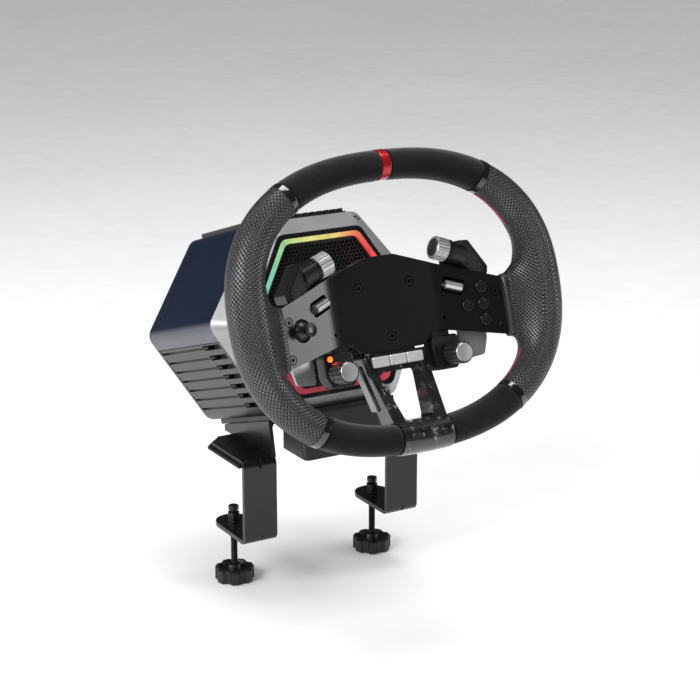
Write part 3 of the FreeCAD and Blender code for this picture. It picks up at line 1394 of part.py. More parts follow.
def web_plate():
    low_x = CLAMP_X - CLAMP_WIDTH * HALF
    top = PAD_T + STEEL_T
    front_y = CLAMP_FRONT_Y + WEB_SET_BACK
    back_z = underside_z(WEB_BACK_Y)
    points = [(CLAMP_FRONT_Y + OVERLAP, top - OVERLAP), (WEB_BACK_Y, min(top, back_z) - WEB_DROP),
              (WEB_BACK_Y, back_z), (front_y, underside_z(front_y))]
    return side_prism(points, low_x, low_x + WEB_T)


def underside_z(y):
    tilt = math.radians(TILT_DEG)
    under_v = BODY_BOTTOM_V - BASE_PLATE_T
    return HUB_Z + under_v / math.cos(tilt) - (y - HUB_Y) * math.tan(tilt)


def web_flange():
    low_x = CLAMP_X - CLAMP_WIDTH * HALF
    top_v = BODY_BOTTOM_V - BASE_PLATE_T
    flange = box((low_x - FLANGE_WIDTH + WEB_T, top_v - FLANGE_T, FLANGE_W[0]),
                 (low_x + WEB_T, top_v, FLANGE_W[1]))
    return tilted(flange)


def weld_nut():
    spots = [(CLAMP_X + x, SCREW_Y + y) for x, y in ring_spots(HEX_SIDES, NUT_ACROSS / HEX_RATIO)]
    return prism(spots, JAW_Z + STEEL_T, JAW_Z + STEEL_T + NUT_HEIGHT)


def plate_corner_cut():
    high_x = CLAMP_X + CLAMP_WIDTH * HALF + OVERLAP
    high_y = PLATE_BACK_Y + OVERLAP
    reach = CORNER_CUT + 2.0 * OVERLAP
    points = [(high_x, high_y - reach), (high_x, high_y), (high_x - reach, high_y)]
    return prism(points, 0.0, PAD_T + 2.0 * STEEL_T)


def jaw_end_cut():
    low_z = JAW_Z - OVERLAP
    high_z = JAW_Z + STEEL_T + OVERLAP
    beyond = box((0, SCREW_Y, low_z), (BIG, BIG, high_z))
    return beyond.cut(Part.makeCylinder(CLAMP_WIDTH * HALF, high_z - low_z, vec(CLAMP_X, SCREW_Y, low_z)))


def bend_notch(z, side):
    half = NOTCH_LENGTH * HALF
    outside = z - side * OVERLAP
    points = [(CLAMP_FRONT_Y - OVERLAP, z), (CLAMP_FRONT_Y - OVERLAP, z + side * NOTCH_LENGTH),
              (CLAMP_FRONT_Y + NOTCH_T, z + side * half), (CLAMP_FRONT_Y + half, z),
              (CLAMP_FRONT_Y + NOTCH_LENGTH, outside), (CLAMP_FRONT_Y, outside)]
    return side_prism(points, CLAMP_X - NOTCH_T, CLAMP_X + NOTCH_T)


def clamp_bracket():
    strip = bent_clamp_strip().cut(plate_corner_cut()).cut(jaw_end_cut())
    strip = strip.cut([bend_notch(PAD_T + STEEL_T, -1.0), bend_notch(JAW_Z, 1.0)])
    bracket = fused([strip, web_plate(), web_flange(), weld_nut()])
    nut_top = JAW_Z + STEEL_T + NUT_HEIGHT + OVERLAP
    bore_start = vec(CLAMP_X, SCREW_Y, JAW_Z - OVERLAP)
    return bracket.cut(Part.makeCylinder(THREAD_R + RUNNING_GAP, nut_top - JAW_Z + OVERLAP, bore_start))


def desk_pad():
    low_x = CLAMP_X - CLAMP_WIDTH * HALF
    high_x = CLAMP_X + CLAMP_WIDTH * HALF + PAD_MARGIN
    back = PLATE_BACK_Y + PAD_MARGIN
    front = CLAMP_FRONT_Y + STEEL_T
    points = [(low_x, front), (high_x, front), (high_x, back - CORNER_CUT), (high_x - CORNER_CUT, back),
              (low_x, back)]
    return prism(points, 0.0, PAD_T)


def clamp_screw():
    points = [(0.0, THREAD_TOP_Z), (THREAD_ROOT_R, THREAD_TOP_Z)]
    count = int((THREAD_TOP_Z - THREAD_BOTTOM_Z) / THREAD_PITCH)
    for i in range(count):
        z = THREAD_TOP_Z - i * THREAD_PITCH
        points.append((THREAD_R, z - THREAD_PITCH * CREST_SHARES[0]))
        points.append((THREAD_R, z - THREAD_PITCH * CREST_SHARES[1]))
        points.append((THREAD_ROOT_R, z - THREAD_PITCH))
    points.append((0.0, THREAD_TOP_Z - count * THREAD_PITCH))
    outline = [vec(r, 0, z) for r, z in points]
    face = Part.Face(Part.makePolygon(outline + [outline[0]]))
    screw = face.revolve(ORIGIN, Z_AXIS, FULL_TURN_DEG)
    screw.translate(vec(CLAMP_X, SCREW_Y, 0))
    ball = Part.makeSphere(BALL_R, vec(CLAMP_X, SCREW_Y, THREAD_TOP_Z + BALL_RISE))
    return screw.fuse(ball)


def press_foot():
    low = THREAD_TOP_Z + PRESS_FOOT_GAP
    foot = Part.makeCylinder(PRESS_FOOT_R, PRESS_FOOT_T, vec(CLAMP_X, SCREW_Y, low))
    top = [e for e in rim_edges(foot) if e.BoundBox.ZMin > low + OVERLAP]
    foot = foot.makeFillet(PRESS_FOOT_EDGE_R, top)
    return foot.cut(Part.makeSphere(BALL_R + RUNNING_GAP, vec(CLAMP_X, SCREW_Y, THREAD_TOP_Z + BALL_RISE)))


def star_knob():
    low_z = STAR_TOP_Z - STAR_HEIGHT
    star = Part.makeCylinder(STAR_R, STAR_HEIGHT, vec(0, 0, low_z))
    for x, y in ring_spots(STAR_LOBES, STAR_NOTCH_RADIUS, STAR_START_DEG):
        star = star.cut(Part.makeCylinder(STAR_NOTCH_R, STAR_HEIGHT, vec(x, y, low_z)))
    flat = [e for e in star.Edges if e.BoundBox.ZLength < TINY]
    star = star.makeChamfer(STAR_CHAMFER, flat)
    dish_low, dish_high = STAR_DISH_R
    star = star.cut(Part.makeCone(dish_low, dish_high, STAR_DISH_T, vec(0, 0, STAR_TOP_Z - STAR_DISH_T)))
    neck_z = STAR_TOP_Z - STAR_DISH_T - OVERLAP * HALF
    neck_top = STAR_NECK_R - STAR_NECK_TAPER
    star = star.fuse(Part.makeCone(STAR_NECK_R, neck_top, STAR_NECK_HEIGHT, vec(0, 0, neck_z)))
    star = star.cut(Part.makeCylinder(THREAD_R, BIG, vec(0, 0, THREAD_BOTTOM_Z)))
    star.translate(vec(CLAMP_X, SCREW_Y, 0))
    return star


# ---------------------------------------------------------------- build
def build_rim():
    ring = rim_core_ring()
    core = rim_core(ring)
    plate = faceplate()
    screws = plate_screws()
    save(tilted(core), "rim_core")
    save(tilted(plate), "faceplate")
    save(tilted(screws), "plate_screws")
    for side, name in ((-1, "left"), (1, "right")):
        grip = leather_grip(ring, fused([end_tab(), on_side(plate, side)])).cut(screws)
        save(tilted(on_side(largest(grip), side)), "grip_" + name)
    save(tilted(suede_top(ring)), "suede_top")
    save(tilted(suede_bottom(ring)), "suede_bottom")
    save(tilted(joint_rings(ring)), "joint_rings")
    save(tilted(centre_band(ring)), "centre_band")
    save(tilted(spoke_frame(ring)), "spoke_frame")


def build_controls():
    save(tilted(rear_housing()), "rear_housing")
    for side, name in ((-1, "left"), (1, "right")):
        save(tilted(on_side(paddle(), side)), "paddle_" + name)
        lever = on_wing(toggle_lever(), TOGGLE_SPOT[0], TOGGLE_SPOT[1], TOGGLE_TURN_DEG)
        save(tilted(on_side(lever, side)), "toggle_" + name)
        save(tilted(on_side(upper_knob(), side)), "upper_knob_" + name)
        save(tilted(on_side(thumb_encoder(), side)), "thumb_encoder_" + name)
    for number, (u, v) in enumerate(BUTTON_SPOTS):
        save(tilted(on_wing(round_button(), u, v)), "round_button_" + str(number + 1))
    save(tilted(mirrored(on_wing(thumb_stick(), *STICK_SPOT))), "thumb_stick")
    save(tilted(mirrored(on_wing(stick_gimbal(), *STICK_SPOT))), "stick_gimbal")
    for number, index in enumerate(KEY_INDEXES):
        save(tilted(spoke_key(index)), "spoke_key_" + str(number + 1))
    save(tilted(both_sides(upper_pod())), "upper_pods")
    save(tilted(lower_pods()), "lower_pods")
    save(tilted(indicator_lens()), "indicator_lens")
    save(tilted(both_sides(spoke_trim())), "spoke_trims")


def build_drive():
    save(tilted(wheel_hub()), "wheel_hub")
    save(tilted(quick_release_ring()), "quick_release_ring")
    save(tilted(steering_shaft()), "steering_shaft")
    save(tilted(motor_rotor()), "motor_rotor")
    save(tilted(motor_stator()), "motor_stator")
    save(tilted(shaft_bearings()), "shaft_bearings")


def build_base():
    save(tilted(base_housing().cut(rig_holes())), "base_housing")
    save(tilted(front_cover()), "front_cover")
    save(tilted(bezel_ring()), "bezel_ring")
    save(tilted(led_ring()), "led_ring")
    save(tilted(front_grille()), "front_grille")
    save(tilted(both_sides(side_panel())), "side_panels")
    save(tilted(base_screws()), "base_screws")
    save(tilted(top_vent()), "top_vent")
    save(tilted(control_board()), "control_board")
    save(tilted(rear_cover()), "rear_cover")
    save(tilted(rear_sockets()), "rear_sockets")
    save(tilted(base_plate().cut(rig_holes())), "base_plate")
    save(foot_cover(), "foot_cover")


def build_clamps():
    save(both_sides(desk_pad()), "desk_pads")
    for side, name in ((-1, "left"), (1, "right")):
        save(on_side(clamp_bracket(), side), "clamp_bracket_" + name)
        save(on_side(clamp_screw(), side), "clamp_screw_" + name)
        save(on_side(press_foot(), side), "clamp_foot_" + name)
        save(on_side(star_knob(), side), "clamp_knob_" + name)


os.makedirs("parts", exist_ok=True)
build_rim()
build_controls()
build_drive()
build_base()
build_clamps()
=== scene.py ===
import json
import math

import bmesh
import bpy
import numpy as np
from mathutils import Matrix, Vector
from mathutils.bvhtree import BVHTree


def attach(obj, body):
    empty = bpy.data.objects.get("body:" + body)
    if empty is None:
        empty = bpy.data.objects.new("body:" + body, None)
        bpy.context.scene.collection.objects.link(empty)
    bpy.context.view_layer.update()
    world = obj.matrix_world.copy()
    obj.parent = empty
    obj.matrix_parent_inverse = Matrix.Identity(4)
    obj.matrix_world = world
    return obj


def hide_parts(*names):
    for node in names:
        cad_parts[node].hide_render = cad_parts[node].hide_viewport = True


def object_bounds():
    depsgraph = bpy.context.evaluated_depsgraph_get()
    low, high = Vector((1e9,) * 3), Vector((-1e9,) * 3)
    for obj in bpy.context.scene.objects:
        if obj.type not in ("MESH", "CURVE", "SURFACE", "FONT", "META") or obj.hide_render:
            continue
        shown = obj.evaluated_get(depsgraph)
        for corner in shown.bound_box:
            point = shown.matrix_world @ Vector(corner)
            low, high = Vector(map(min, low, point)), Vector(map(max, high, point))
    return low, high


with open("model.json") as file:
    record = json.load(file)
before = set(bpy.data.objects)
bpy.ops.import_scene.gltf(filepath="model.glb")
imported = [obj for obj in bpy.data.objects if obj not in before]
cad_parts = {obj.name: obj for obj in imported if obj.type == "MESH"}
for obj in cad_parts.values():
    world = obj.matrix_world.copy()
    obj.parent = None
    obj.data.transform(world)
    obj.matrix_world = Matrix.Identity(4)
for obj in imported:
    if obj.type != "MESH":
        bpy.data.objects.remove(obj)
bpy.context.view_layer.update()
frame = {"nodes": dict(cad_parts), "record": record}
NODES = frame["nodes"]

# ------------------------------------------------------------------ wheel frame, in metres
TILT = math.radians(18.0)
HUB = Vector((0.0, -0.0944, 0.1583))
U_AXIS = Vector((1.0, 0.0, 0.0))
V_AXIS = Vector((0.0, math.sin(TILT), math.cos(TILT)))
W_AXIS = Vector((0.0, -math.cos(TILT), math.sin(TILT)))
WHEEL = Matrix.Translation(HUB) @ Matrix((U_AXIS, V_AXIS, W_AXIS)).transposed().to_4x4()

RIM_HALF_WIDTH = 0.1388
RIM_HALF_TOP = 0.1102
RIM_HALF_BOTTOM = 0.1118
RIM_ROUNDNESS = 2.4
RIM_W = 0.022
SLIM_RADIAL, SLIM_DEPTH = 0.0123, 0.0130
GRIP_RADIAL, GRIP_DEPTH = 0.0156, 0.0170
RING_DEG = 45.0
RING_HALF = 0.0026
BAND_HALF = 0.0039
SIDES = ((1, "right"), (-1, "left"))
SLEEVE_DEG = math.degrees(math.atan2(0.0235, RIM_HALF_BOTTOM))
WING_TILT = math.radians(14.4)
BOOT_START_U = 0.1045
BOOT_STEPS = ((0.0, 0.0, 0.0), (0.007, 0.002, 0.0015), (0.015, 0.009, 0.005), (0.025, 0.024, 0.009))
BOOT_HALF_V, BOOT_CENTRE_V = 0.026, -0.018
BOOT_HALF_W, BOOT_CENTRE_W = 0.0066, 0.0116
BOOT_W_RISE = 0.30
BOOT_POWER = 4.0
HEM_WIDTH = 0.0030
NEAR_DEG = 0.05
LIGHT_RING_W = -0.094


def to_row(point):
    """From the wheel frame to the scene."""
    return WHEEL @ Vector(point)


def rim_point(deg):
    """Point on the rim's centreline: a rounded oval, flatter above than below."""
    a = math.radians(deg)
    half = RIM_HALF_TOP if math.sin(a) > 0 else RIM_HALF_BOTTOM
    r = (abs(math.cos(a) / RIM_HALF_WIDTH) ** RIM_ROUNDNESS
         + abs(math.sin(a) / half) ** RIM_ROUNDNESS) ** (-1.0 / RIM_ROUNDNESS)
    return Vector((r * math.cos(a), r * math.sin(a), RIM_W))


def rim_frame(deg):
    """Point on the centreline, direction along it, direction out of the loop."""
    along = (rim_point(deg + NEAR_DEG) - rim_point(deg - NEAR_DEG)).normalized()
    return rim_point(deg), along, along.cross(Vector((0, 0, 1)))


def rim_size(deg):
    """Half thickness across and in depth: full at the sides, slim at the top and bottom."""
    full = (abs(rim_point(deg).x) / RIM_HALF_WIDTH) ** 2
    return (SLIM_RADIAL + (GRIP_RADIAL - SLIM_RADIAL) * full,
            SLIM_DEPTH + (GRIP_DEPTH - SLIM_DEPTH) * full)


def deg_of_length(deg, length):
    """Angle that a length along the rim takes up near an angle."""
    return length / (rim_point(deg + 0.5) - rim_point(deg - 0.5)).length


def rim_surface(deg, phi, grow=0.0):
    """Point on the tube and its normal: phi 0 faces the driver, +90 degrees faces into the loop."""
    p, _, out = rim_frame(deg)
    radial, depth = rim_size(deg)
    normal = out * (-math.sin(phi)) + Vector((0, 0, 1)) * math.cos(phi)
    inward = out * (-(radial + grow) * math.sin(phi))
    forward = Vector((0, 0, (depth + grow) * math.cos(phi)))
    return p + inward + forward, normal


# ------------------------------------------------------------------ node helpers
class Tree:
    """A material with one Principled shader, and short ways to add nodes and feed its sockets."""

    def __init__(self, name):
        self.mat = bpy.data.materials.new(name)
        self.mat.use_nodes = True
        self.tree = self.mat.node_tree
        self.tree.nodes.clear()
        self.out = self.tree.nodes.new("ShaderNodeOutputMaterial")
        self.bsdf = self.tree.nodes.new("ShaderNodeBsdfPrincipled")
        self.tree.links.new(self.bsdf.outputs[0], self.out.inputs["Surface"])
        self.coords = self.tree.nodes.new("ShaderNodeTexCoord").outputs["Object"]

    def put(self, socket, value):
        target = self.bsdf.inputs[socket]
        if isinstance(value, bpy.types.NodeSocket):
            self.tree.links.new(value, target)
        else:
            target.default_value = value

    def node(self, kind, inputs=(), **props):
        n = self.tree.nodes.new(kind)
        for key, value in props.items():
            setattr(n, key, value)
        for key, value in dict(inputs).items():
            if isinstance(value, bpy.types.NodeSocket):
                self.tree.links.new(value, n.inputs[key])
            else:
                n.inputs[key].default_value = value
        return n

    def math(self, op, a, b=None):
        n = self.node("ShaderNodeMath", operation=op)
        for i, v in enumerate((a, b)):
            if isinstance(v, bpy.types.NodeSocket):
                self.tree.links.new(v, n.inputs[i])
            elif v is not None:
                n.inputs[i].default_value = v
        return n.outputs[0]

    def scaled(self, x=1.0, y=1.0, z=1.0, turn=(0, 0, 0), source=None):
        n = self.node("ShaderNodeMapping", {"Vector": source or self.coords})
        n.inputs["Scale"].default_value = (x, y, z)
        n.inputs["Rotation"].default_value = turn
        return n.outputs[0]

    def noise(self, scale, detail=3.0, rough=0.55, vector=None):
        n = self.node("ShaderNodeTexNoise", {"Vector": vector or self.coords, "Scale": scale,
                                             "Detail": detail, "Roughness": rough, "Distortion": 0.0})
        return n.outputs["Fac"]

    def cells(self, scale, vector=None, output="Distance"):
        n = self.node("ShaderNodeTexVoronoi", {"Vector": vector or self.coords, "Scale": scale,
                                               "Randomness": 1.0}, feature="F1")
        return n.outputs[output]

    def ramp(self, fac, stops):
        n = self.node("ShaderNodeValToRGB", {"Fac": fac})
        n.color_ramp.interpolation = "LINEAR"
        e = n.color_ramp.elements
        while len(e) < len(stops):
            e.new(0.5)
        for item, (pos, colour) in zip(e, stops):
            item.position = pos
            item.color = tuple(colour) + (1.0,)
        return n.outputs["Color"]

    def level(self, fac, low, high, from_low=0.0, from_high=1.0):
        n = self.node("ShaderNodeMapRange", {"Value": fac, "From Min": from_low, "From Max": from_high,
                                             "To Min": low, "To Max": high})
        return n.outputs["Result"]

    def mix(self, fac, a, b):
        n = self.node("ShaderNodeMix", data_type="RGBA")
        for key, value in ((0, fac), (6, a), (7, b)):
            if isinstance(value, bpy.types.NodeSocket):
                self.tree.links.new(value, n.inputs[key])
            else:
                n.inputs[key].default_value = value if key == 0 else tuple(value) + (1.0,)
        return n.outputs[2]

    def bump(self, height, distance, strength=1.0, below=None):
        n = self.node("ShaderNodeBump", {"Height": height, "Distance": distance, "Strength": strength})
        if below is not None:
            self.tree.links.new(below, n.inputs["Normal"])
        self.put("Normal", n.outputs["Normal"])
        return n.outputs["Normal"]

    def edge_wear_and_highlight(self):
        """0 on flats and hollows, 1 on convex edges."""
        n = self.node("ShaderNodeNewGeometry")
        return self.level(n.outputs["Pointiness"], 0.0, 1.0, 0.52, 0.62)


def finish_material(name, dark, light, rough=(0.4, 0.55), metal=0.0, grain=2500.0, grain_depth=0.00002,
                    blotch=60.0, coat=0.0, coat_rough=0.1, wear_and_highlight=0.0, stretch=(1, 1, 1), spec=0.5):
    """General painted, moulded or metal surface: mottled colour, uneven gloss, fine grain, and convex edges
    painted lighter, as wear where the amount is small and as painted highlight where it is large.
    """
    t = Tree(name)
    body = t.noise(blotch, 4.0, 0.6)
    fine = t.noise(grain, 2.0, 0.6, t.scaled(*stretch))
    colour = t.mix(t.level(body, 0.0, 1.0, 0.3, 0.7), dark, light)
    if wear_and_highlight:
        # convex edges painted lighter: wear where the amount is small, a painted highlight where it is large
        edge = t.math("MULTIPLY", t.edge_wear_and_highlight(), t.level(t.noise(900.0, 3.0), 0.0, wear_and_highlight, 0.35, 0.75))
        colour = t.mix(edge, colour, tuple(min(1.0, c * 2.2 + 0.08) for c in light))
    t.put("Base Color", colour)
    both = t.math("ADD", t.math("MULTIPLY", body, 0.5), t.math("MULTIPLY", fine, 0.5))
    t.put("Roughness", t.level(both, rough[0], rough[1], 0.3, 0.7))
    t.put("Metallic", metal)
    t.put("Specular IOR Level", spec)
    if coat:
        t.put("Coat Weight", coat)
        t.put("Coat Roughness", coat_rough)
    if grain_depth:
        t.bump(fine, grain_depth)
    return t.mat


def leather_material():
    """Perforated leather: staggered holes between raised lands, laid out on the piece's skin coordinates;
    the dips round the holes carry painted shade.
    """
    t = Tree("leather")
    attribute = t.node("ShaderNodeAttribute", attribute_name="skin").outputs["Vector"]
    split = t.node("ShaderNodeSeparateXYZ", {"Vector": attribute})
    pitch, row_pitch = 0.0036, 0.0018
    hole_edge, land_edge = (0.37, 0.64), (0.34, 1.25)    # distances from a hole's middle, in mm
    row = t.math("DIVIDE", split.outputs["Y"], row_pitch)
    row_index = t.math("ROUND", row)
    shift = t.math("MULTIPLY", t.math("PINGPONG", row_index, 1.0), 0.5)
    column = t.math("ADD", t.math("DIVIDE", split.outputs["X"], pitch), shift)
    dx = t.math("MULTIPLY", t.math("SUBTRACT", column, t.math("ROUND", column)), pitch * 1000.0)
    dy = t.math("MULTIPLY", t.math("SUBTRACT", row, row_index), row_pitch * 1000.0)
    far = t.math("SQRT", t.math("ADD", t.math("MULTIPLY", dx, dx), t.math("MULTIPLY", dy, dy)))
    hole = t.math("MULTIPLY", t.level(far, 1.0, 0.0, *hole_edge), split.outputs["Z"])
    dip = t.math("MULTIPLY", t.level(far, 1.0, 0.0, *land_edge), split.outputs["Z"])
    land = t.math("SUBTRACT", 1.0, dip)
    crease = t.noise(900.0, 5.0, 0.65)
    grain = t.cells(2600.0)
    wide = t.noise(45.0, 3.0)
    skin = t.mix(t.level(wide, 0.0, 1.0, 0.35, 0.65), (0.016, 0.016, 0.017), (0.026, 0.026, 0.0272))
    # painted shade: the dip round each hole is coloured darker than the lands
    skin = t.mix(land, (0.006, 0.006, 0.0063), skin)
    t.put("Base Color", t.mix(hole, skin, (0.001, 0.001, 0.001)))
    t.put("Roughness", t.level(crease, 0.30, 0.44, 0.3, 0.7))
    t.put("Specular IOR Level", t.level(hole, 0.72, 0.0))
    first = t.bump(t.math("ADD", t.math("MULTIPLY", grain, 0.4), crease), 0.00005, 0.6)
    t.bump(land, 0.00068, 1.0, first)
    return t.mat


def suede_material():
    """Dark napped cloth with a faint sheen."""
    t = Tree("suede")
    nap = t.noise(3800.0, 4.0, 0.75)
    brushed = t.noise(110.0, 4.0, 0.6, t.scaled(1.0, 1.0, 2.2))
    pile = t.math("ADD", t.math("MULTIPLY", nap, 0.6), t.math("MULTIPLY", brushed, 0.4))
    t.put("Base Color", t.ramp(pile, [(0.30, (0.0025, 0.0025, 0.0028)), (0.52, (0.006, 0.006, 0.0065)),
                                      (0.72, (0.015, 0.015, 0.016))]))
    t.put("Roughness", t.level(nap, 0.85, 1.0, 0.3, 0.7))
    t.put("Specular IOR Level", 0.10)
    t.put("Sheen Weight", 0.32)
    t.put("Sheen Roughness", 0.40)
    t.put("Sheen Tint", (0.75, 0.75, 0.8, 1.0))
    t.bump(nap, 0.00022, 0.9)
    return t.mat


def carbon_material():
    """Chopped carbon chips under clear lacquer."""
    t = Tree("forged_carbon")
    warp = t.noise(60.0, 3.0, 0.6)
    push = t.node("ShaderNodeCombineXYZ", {key: t.math("MULTIPLY", warp, amount)
                                           for key, amount in (("X", 0.016), ("Y", -0.011), ("Z", 0.013))})
    bent = t.node("ShaderNodeVectorMath", {0: t.coords, 1: push.outputs[0]}, operation="ADD").outputs[0]
    chips = t.cells(170.0, t.scaled(1.7, 1.0, 0.7, (0.5, 0.3, 0.7), bent), output="Color")
    tone = t.node("ShaderNodeSeparateColor", {"Color": chips}).outputs["Red"]
    fibres = t.noise(1500.0, 2.0, 0.5, t.scaled(0.12, 1.0, 1.0, (0.4, 0.9, 0.3)))
    cloud = t.noise(120.0, 4.0, 0.65, bent)
    shade = t.math("MULTIPLY", t.math("MULTIPLY", tone, t.level(cloud, 0.2, 1.25, 0.35, 0.68)),
                   t.level(fibres, 0.7, 1.2, 0.3, 0.7))
    t.put("Base Color", t.ramp(shade, [(0.35, (0.0015, 0.0015, 0.0018)), (0.60, (0.006, 0.006, 0.0065)),
                                       (0.78, (0.045, 0.045, 0.048)), (0.94, (0.20, 0.20, 0.205))]))
    t.put("Metallic", 0.25)
    t.put("Roughness", t.level(tone, 0.3, 0.5, 0.0, 1.0))
    t.put("Coat Weight", 1.0)
    t.put("Coat Roughness", 0.05)
    t.bump(t.noise(14.0, 1.0), 0.0004, 0.3)
    return t.mat


def light_ring_material():
    """Light guide whose colour runs round the hexagon: red, then amber, yellow and green."""
    t = Tree("light_ring")
    split = t.node("ShaderNodeSeparateXYZ", {"Vector": t.coords})
    centre = to_row((0, 0, LIGHT_RING_W))
    x = split.outputs["X"]
    z = t.math("SUBTRACT", split.outputs["Z"], centre.z)
    angle = t.math("ARCTAN2", z, x)
    turn = t.level(angle, 0.0, 1.0, -math.pi, math.pi)
    stops = [(0.00, (0.22, 0.62, 0.42)), (0.05, (0.20, 0.05, 0.06)), (0.10, (0.34, 0.025, 0.05)),
             (0.30, (0.36, 0.025, 0.045)), (0.50, (0.80, 0.06, 0.07)), (0.645, (0.85, 0.07, 0.07)),
             (0.675, (0.85, 0.24, 0.08)), (0.715, (0.84, 0.66, 0.18)), (0.79, (0.70, 0.76, 0.22)),
             (0.84, (0.36, 0.68, 0.32)), (0.90, (0.22, 0.62, 0.44)), (1.00, (0.22, 0.62, 0.44))]
    colour = t.ramp(turn, stops)
    t.put("Base Color", t.mix(0.75, colour, (0.02, 0.02, 0.02)))
    t.put("Emission Color", colour)
    t.put("Emission Strength", t.level(t.noise(150.0, 2.0), 0.55, 0.8, 0.3, 0.7))
    t.put("Roughness", 0.35)
    t.bump(t.noise(2500.0), 0.00001)
    return t.mat


def lens_material():
    """Lit orange-red indicator."""
    t = Tree("indicator")
    glow = t.noise(600.0, 2.0)
    colour = t.ramp(glow, [(0.35, (1.0, 0.035, 0.008)), (0.65, (1.0, 0.11, 0.02))])
    t.put("Base Color", colour)
    t.put("Emission Color", colour)
    t.put("Emission Strength", 5.0)
    t.put("Roughness", 0.2)
    t.bump(glow, 0.00002)
    return t.mat


def thread_material(name, dark, light):
    """Twisted sewing thread."""
    t = Tree(name)
    ply = t.node("ShaderNodeTexWave", {"Vector": t.scaled(1, 1, 1, (0.6, 0.7, 0.4)), "Scale": 900.0,
                                       "Distortion": 1.0}).outputs["Fac"]
    t.put("Base Color", t.mix(ply, dark, light))
    t.put("Roughness", t.level(ply, 0.5, 0.75))
    t.put("Sheen Weight", 0.3)
    t.bump(ply, 0.00008)
    return t.mat


def floor_material():
    """Near-white studio floor."""
    t = Tree("floor")
    cloud = t.level(t.noise(2.0, 3.0), 0, 1, 0.3, 0.7)
    t.put("Base Color", t.mix(cloud, (0.80, 0.80, 0.81), (0.83, 0.83, 0.84)))
    t.put("Roughness", t.level(t.noise(30.0, 3.0), 0.55, 0.7, 0.3, 0.7))
    t.bump(t.noise(400.0, 2.0), 0.0001, 0.3)
    return t.mat


